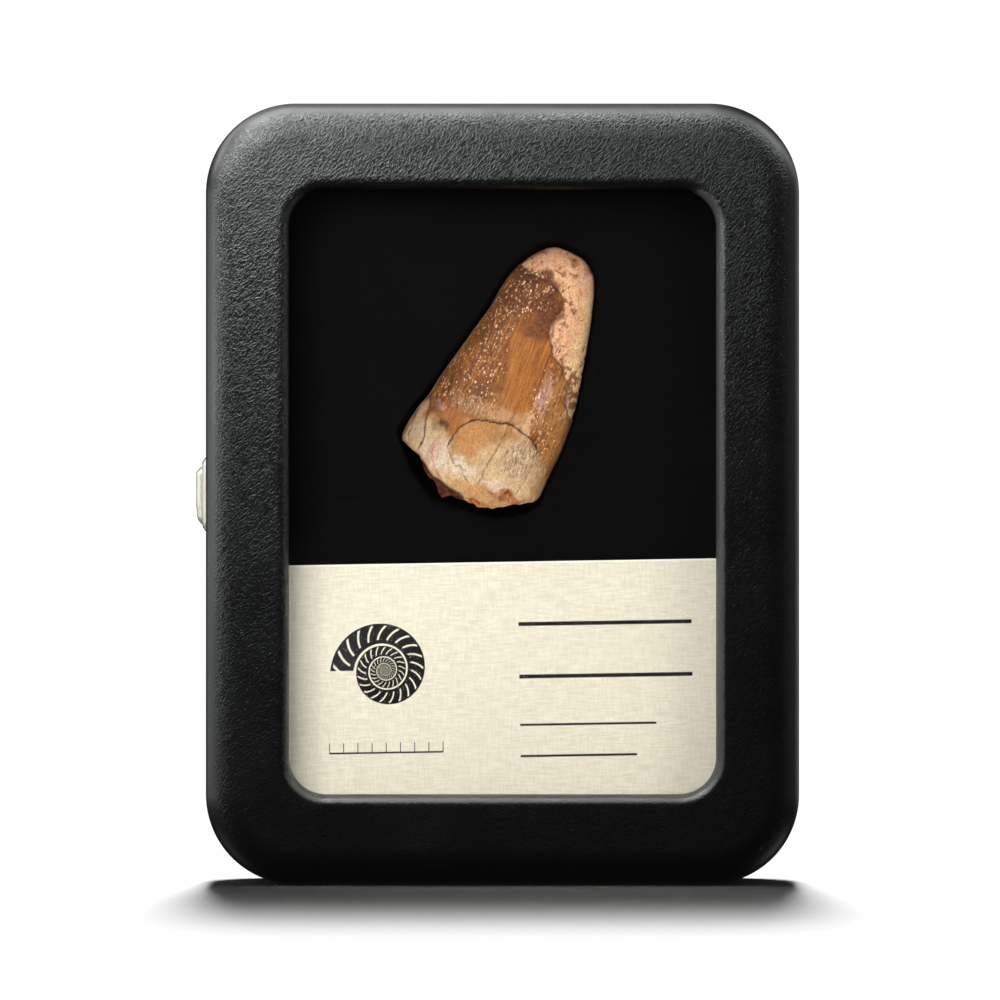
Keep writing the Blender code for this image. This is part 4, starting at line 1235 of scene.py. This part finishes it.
def linen_card():
    """Cream linen card with a generic print: a coiled shell over a ruled scale, and empty writing lines."""
    made = Finish("cream_linen_card")
    level, mix, math_node = made.level, made.mix, made.math
    long_threads = made.noise(made.place(scale=(0.42, 1.0, 4.4)), 1.0, 2.0, 0.5)
    tall_threads = made.noise(made.place(scale=(4.0, 1.0, 0.5)), 1.0, 2.0, 0.5)
    weave = made.times(long_threads, 0.6, made.times(tall_threads, 0.4))
    blotch = made.noise(made.place(), 0.08, 3.0, 0.6)
    sheet = mix(level(weave, 0.36, 0.64), (229, 221, 196), (244, 238, 217))
    sheet = mix(level(blotch, 0.35, 0.8, 0.0, 0.3), sheet, (232, 227, 198))

    # The shell, four writing lines and the scale's line by their middles and half sizes, then its ticks
    across, _, up = made.add("SeparateXYZ", {0: made.place()}).outputs
    shell_x, shell_up, tick_every, tick_shift, tick_width = -16.5, 3.0, 2.0, 80.56, 0.06
    ink = shell_print(made, math_node("SUBTRACT", across, shell_x), math_node("SUBTRACT", up, shell_up))
    for mid, half in (
        ((14.6, 9.2), (12.2, 0.28)), ((14.6, 1.8), (12.2, 0.28)), ((12.0, -5.0), (9.6, 0.16)),
        ((10.6, -9.4), (8.2, 0.16)), ((shell_x, -8.6), (8.0, 0.12)),
    ):
        ink = math_node("MAXIMUM", ink, bar_print(made, across, up, mid, half))
    repeat = math_node("FRACT", math_node("DIVIDE", math_node("ADD", across, tick_shift), tick_every))
    ticks = bar_print(made, across, up, (shell_x, -7.9), (8.2, 0.7))
    ticks = made.times(made.less(repeat, tick_width), ticks)
    sheet = mix(math_node("MAXIMUM", ink, ticks), sheet, (10, 9, 9))
    # Painted highlight: a pale band along the card's top edge
    highlight_band = 0.26
    top_edge_highlight = math_node("GREATER_THAN", up, CARD_HEIGHT / 2 / MM - highlight_band)
    return made.finished(
        Base_Color=mix(top_edge_highlight, sheet, (253, 250, 238)),
        Roughness=level(weave, 0.3, 0.7, 0.82, 0.92),
        Specular_IOR_Level=0.25,
        Normal=made.bump(weave, 0.05),
    )


# The studio


def make_floor():
    """A wide white floor, which lights nothing by reflection."""
    made = Finish("white_floor")
    cloud = made.noise(made.object_place((3, 3, 3)), 1.0, 2.0, 0.5)
    white = made.mix(cloud, (0.90, 0.90, 0.90, 1.0), (0.92, 0.92, 0.92, 1.0))
    mesh = bpy.data.meshes.new("floor")
    mesh.from_pydata([(-4, -4, 0), (4, -4, 0), (4, 4, 0), (-4, 4, 0)], [], [(0, 1, 2, 3)])
    mesh.materials.append(made.finished(Base_Color=white, Roughness=0.9, Specular_IOR_Level=0.1))
    floor = add_object("floor", mesh)
    floor.visible_glossy = False
    floor.visible_diffuse = False
    floor.visible_shadow = False
    return floor


def make_world():
    """White behind everything, and only a dim glow on the object itself."""
    world = bpy.data.worlds.new("studio")
    made = Nodes(world)
    seen = made.add("LightPath", {}).outputs["Is Camera Ray"]
    strength = made.add("MapRange", {"Value": seen, "To Min": DIM_GLOW, "To Max": WHITE_GLOW}).outputs[0]
    glow = made.tree.nodes["Background"]
    made.put(glow.inputs["Color"], (1.0, 1.0, 1.0, 1.0))
    made.put(glow.inputs["Strength"], strength)
    bpy.context.scene.world = world


def aim_at(lamp, objects, alone):
    """Limits a lamp to some objects alone, or to everything but them."""
    lit = bpy.data.collections.new("lit_by_" + lamp.name)
    for item in objects:
        lit.objects.link(item)
    if not alone:
        for linked in lit.collection_objects:
            linked.light_linking.link_state = "EXCLUDE"
    lamp.light_linking.receiver_collection = lit


def make_lights(floor, tooth, lid, clasp, hinge):
    """A high soft sun for the white floor and its shadow, and soft boxes for the case and the tooth."""
    for tilt, share in FLOOR_SUNS:
        sun = bpy.data.lights.new(f"floor_sun_{tilt}", "SUN")
        sun.energy = FLOOR_LIGHT * share / math.cos(math.radians(tilt))
        sun.angle = math.radians(8)
        high = add_object(sun.name, sun)
        high.rotation_euler = (math.radians(-tilt), 0, 0)
        aim_at(high, (floor,), True)

    seen = ("sheen", "edge", "top", "metal")
    alone = {"tooth": (tooth,), "metal": hinge}
    spared = {"edge": (floor,), "top": (floor, *clasp), "inside": (floor, tooth, lid)}
    for number, (use, at, aim, size, power) in enumerate(SOFT_BOXES, 1):
        lamp = bpy.data.lights.new(f"soft_box_{number:02}_{use}", "AREA")
        lamp.shape = "RECTANGLE"
        lamp.size, lamp.size_y = size[0] * CM, size[1] * CM
        lamp.energy = power
        box = add_object(lamp.name, lamp)
        box.location = Vector(at) * CM
        box.rotation_euler = (Vector(aim) - Vector(at)).to_track_quat("-Z", "Y").to_euler()
        box.visible_camera = False
        box.visible_glossy = use in seen
        box.visible_diffuse = use == "metal" or use not in seen
        aim_at(box, alone.get(use) or spared.get(use, (floor, tooth)), use in alone)


def make_camera():
    """Straight in front of the window, far enough for a view of 140 mm across at the case's front."""
    distance, view_width = 1.2, 140 * MM
    aim_x, aim_y, aim_z = -0.35 * MM, -11.5 * MM, 53.9 * MM
    lens = bpy.data.cameras.new("camera")
    lens.sensor_width = 36
    lens.lens = lens.sensor_width * distance / view_width
    lens.clip_start = 0.05
    lens.clip_end = 50
    camera = add_object("camera", lens)
    camera.location = (aim_x, aim_y - distance, aim_z)
    camera.rotation_euler = (math.radians(90), 0, 0)
    bpy.context.scene.camera = camera
    bpy.context.scene.view_settings.view_transform = "Standard"


def dress(node, finish):
    """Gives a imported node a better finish."""
    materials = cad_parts[node].data.materials
    materials.clear()
    materials.append(finish)


def main():
    make_camera()
    make_world()

    tooth = make_tooth(fossil_enamel())
    leather, inner = leatherette(), lining()
    # Each metal's third colour is its painted shade at the outline
    nickel = plated("satin_nickel", (198, 197, 183), (210, 209, 196), (70, 70, 62), (0.42, 0.52), 0.3)
    steel = plated("dull_steel", (139, 139, 141), (166, 166, 166), (90, 90, 90), (0.32, 0.46), 0.6)
    card = make_card(linen_card())
    card.visible_diffuse = False
    bezel, button = make_bezel(nickel), make_button(nickel)
    lid = make_lid(leather, inner)
    hinge = [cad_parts[node] for node in STEEL_NODES]
    make_lights(make_floor(), tooth, lid, (bezel, button), hinge)
    pieces = (
        (lid, "case_lid", "lid", "leatherette"),
        (make_base(leather, inner), "case_base", "tray", "leatherette"),
        (tooth, "fossil_tooth", "tray", "fossil"),
        (make_foam(black_foam()), "foam_pad", "tray", "foam"),
        (card, "label_card", "tray", "card"),
        (bezel, "clasp_bezel", "tray", "nickel"),
        (button, "clasp_button", "button", "nickel"),
    )
    for piece, node, body, slot in pieces:
        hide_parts(node)
        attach(piece, body)

    for node in STEEL_NODES:
        dress(node, steel)
    dress("window_pane", clear_pane())


main()
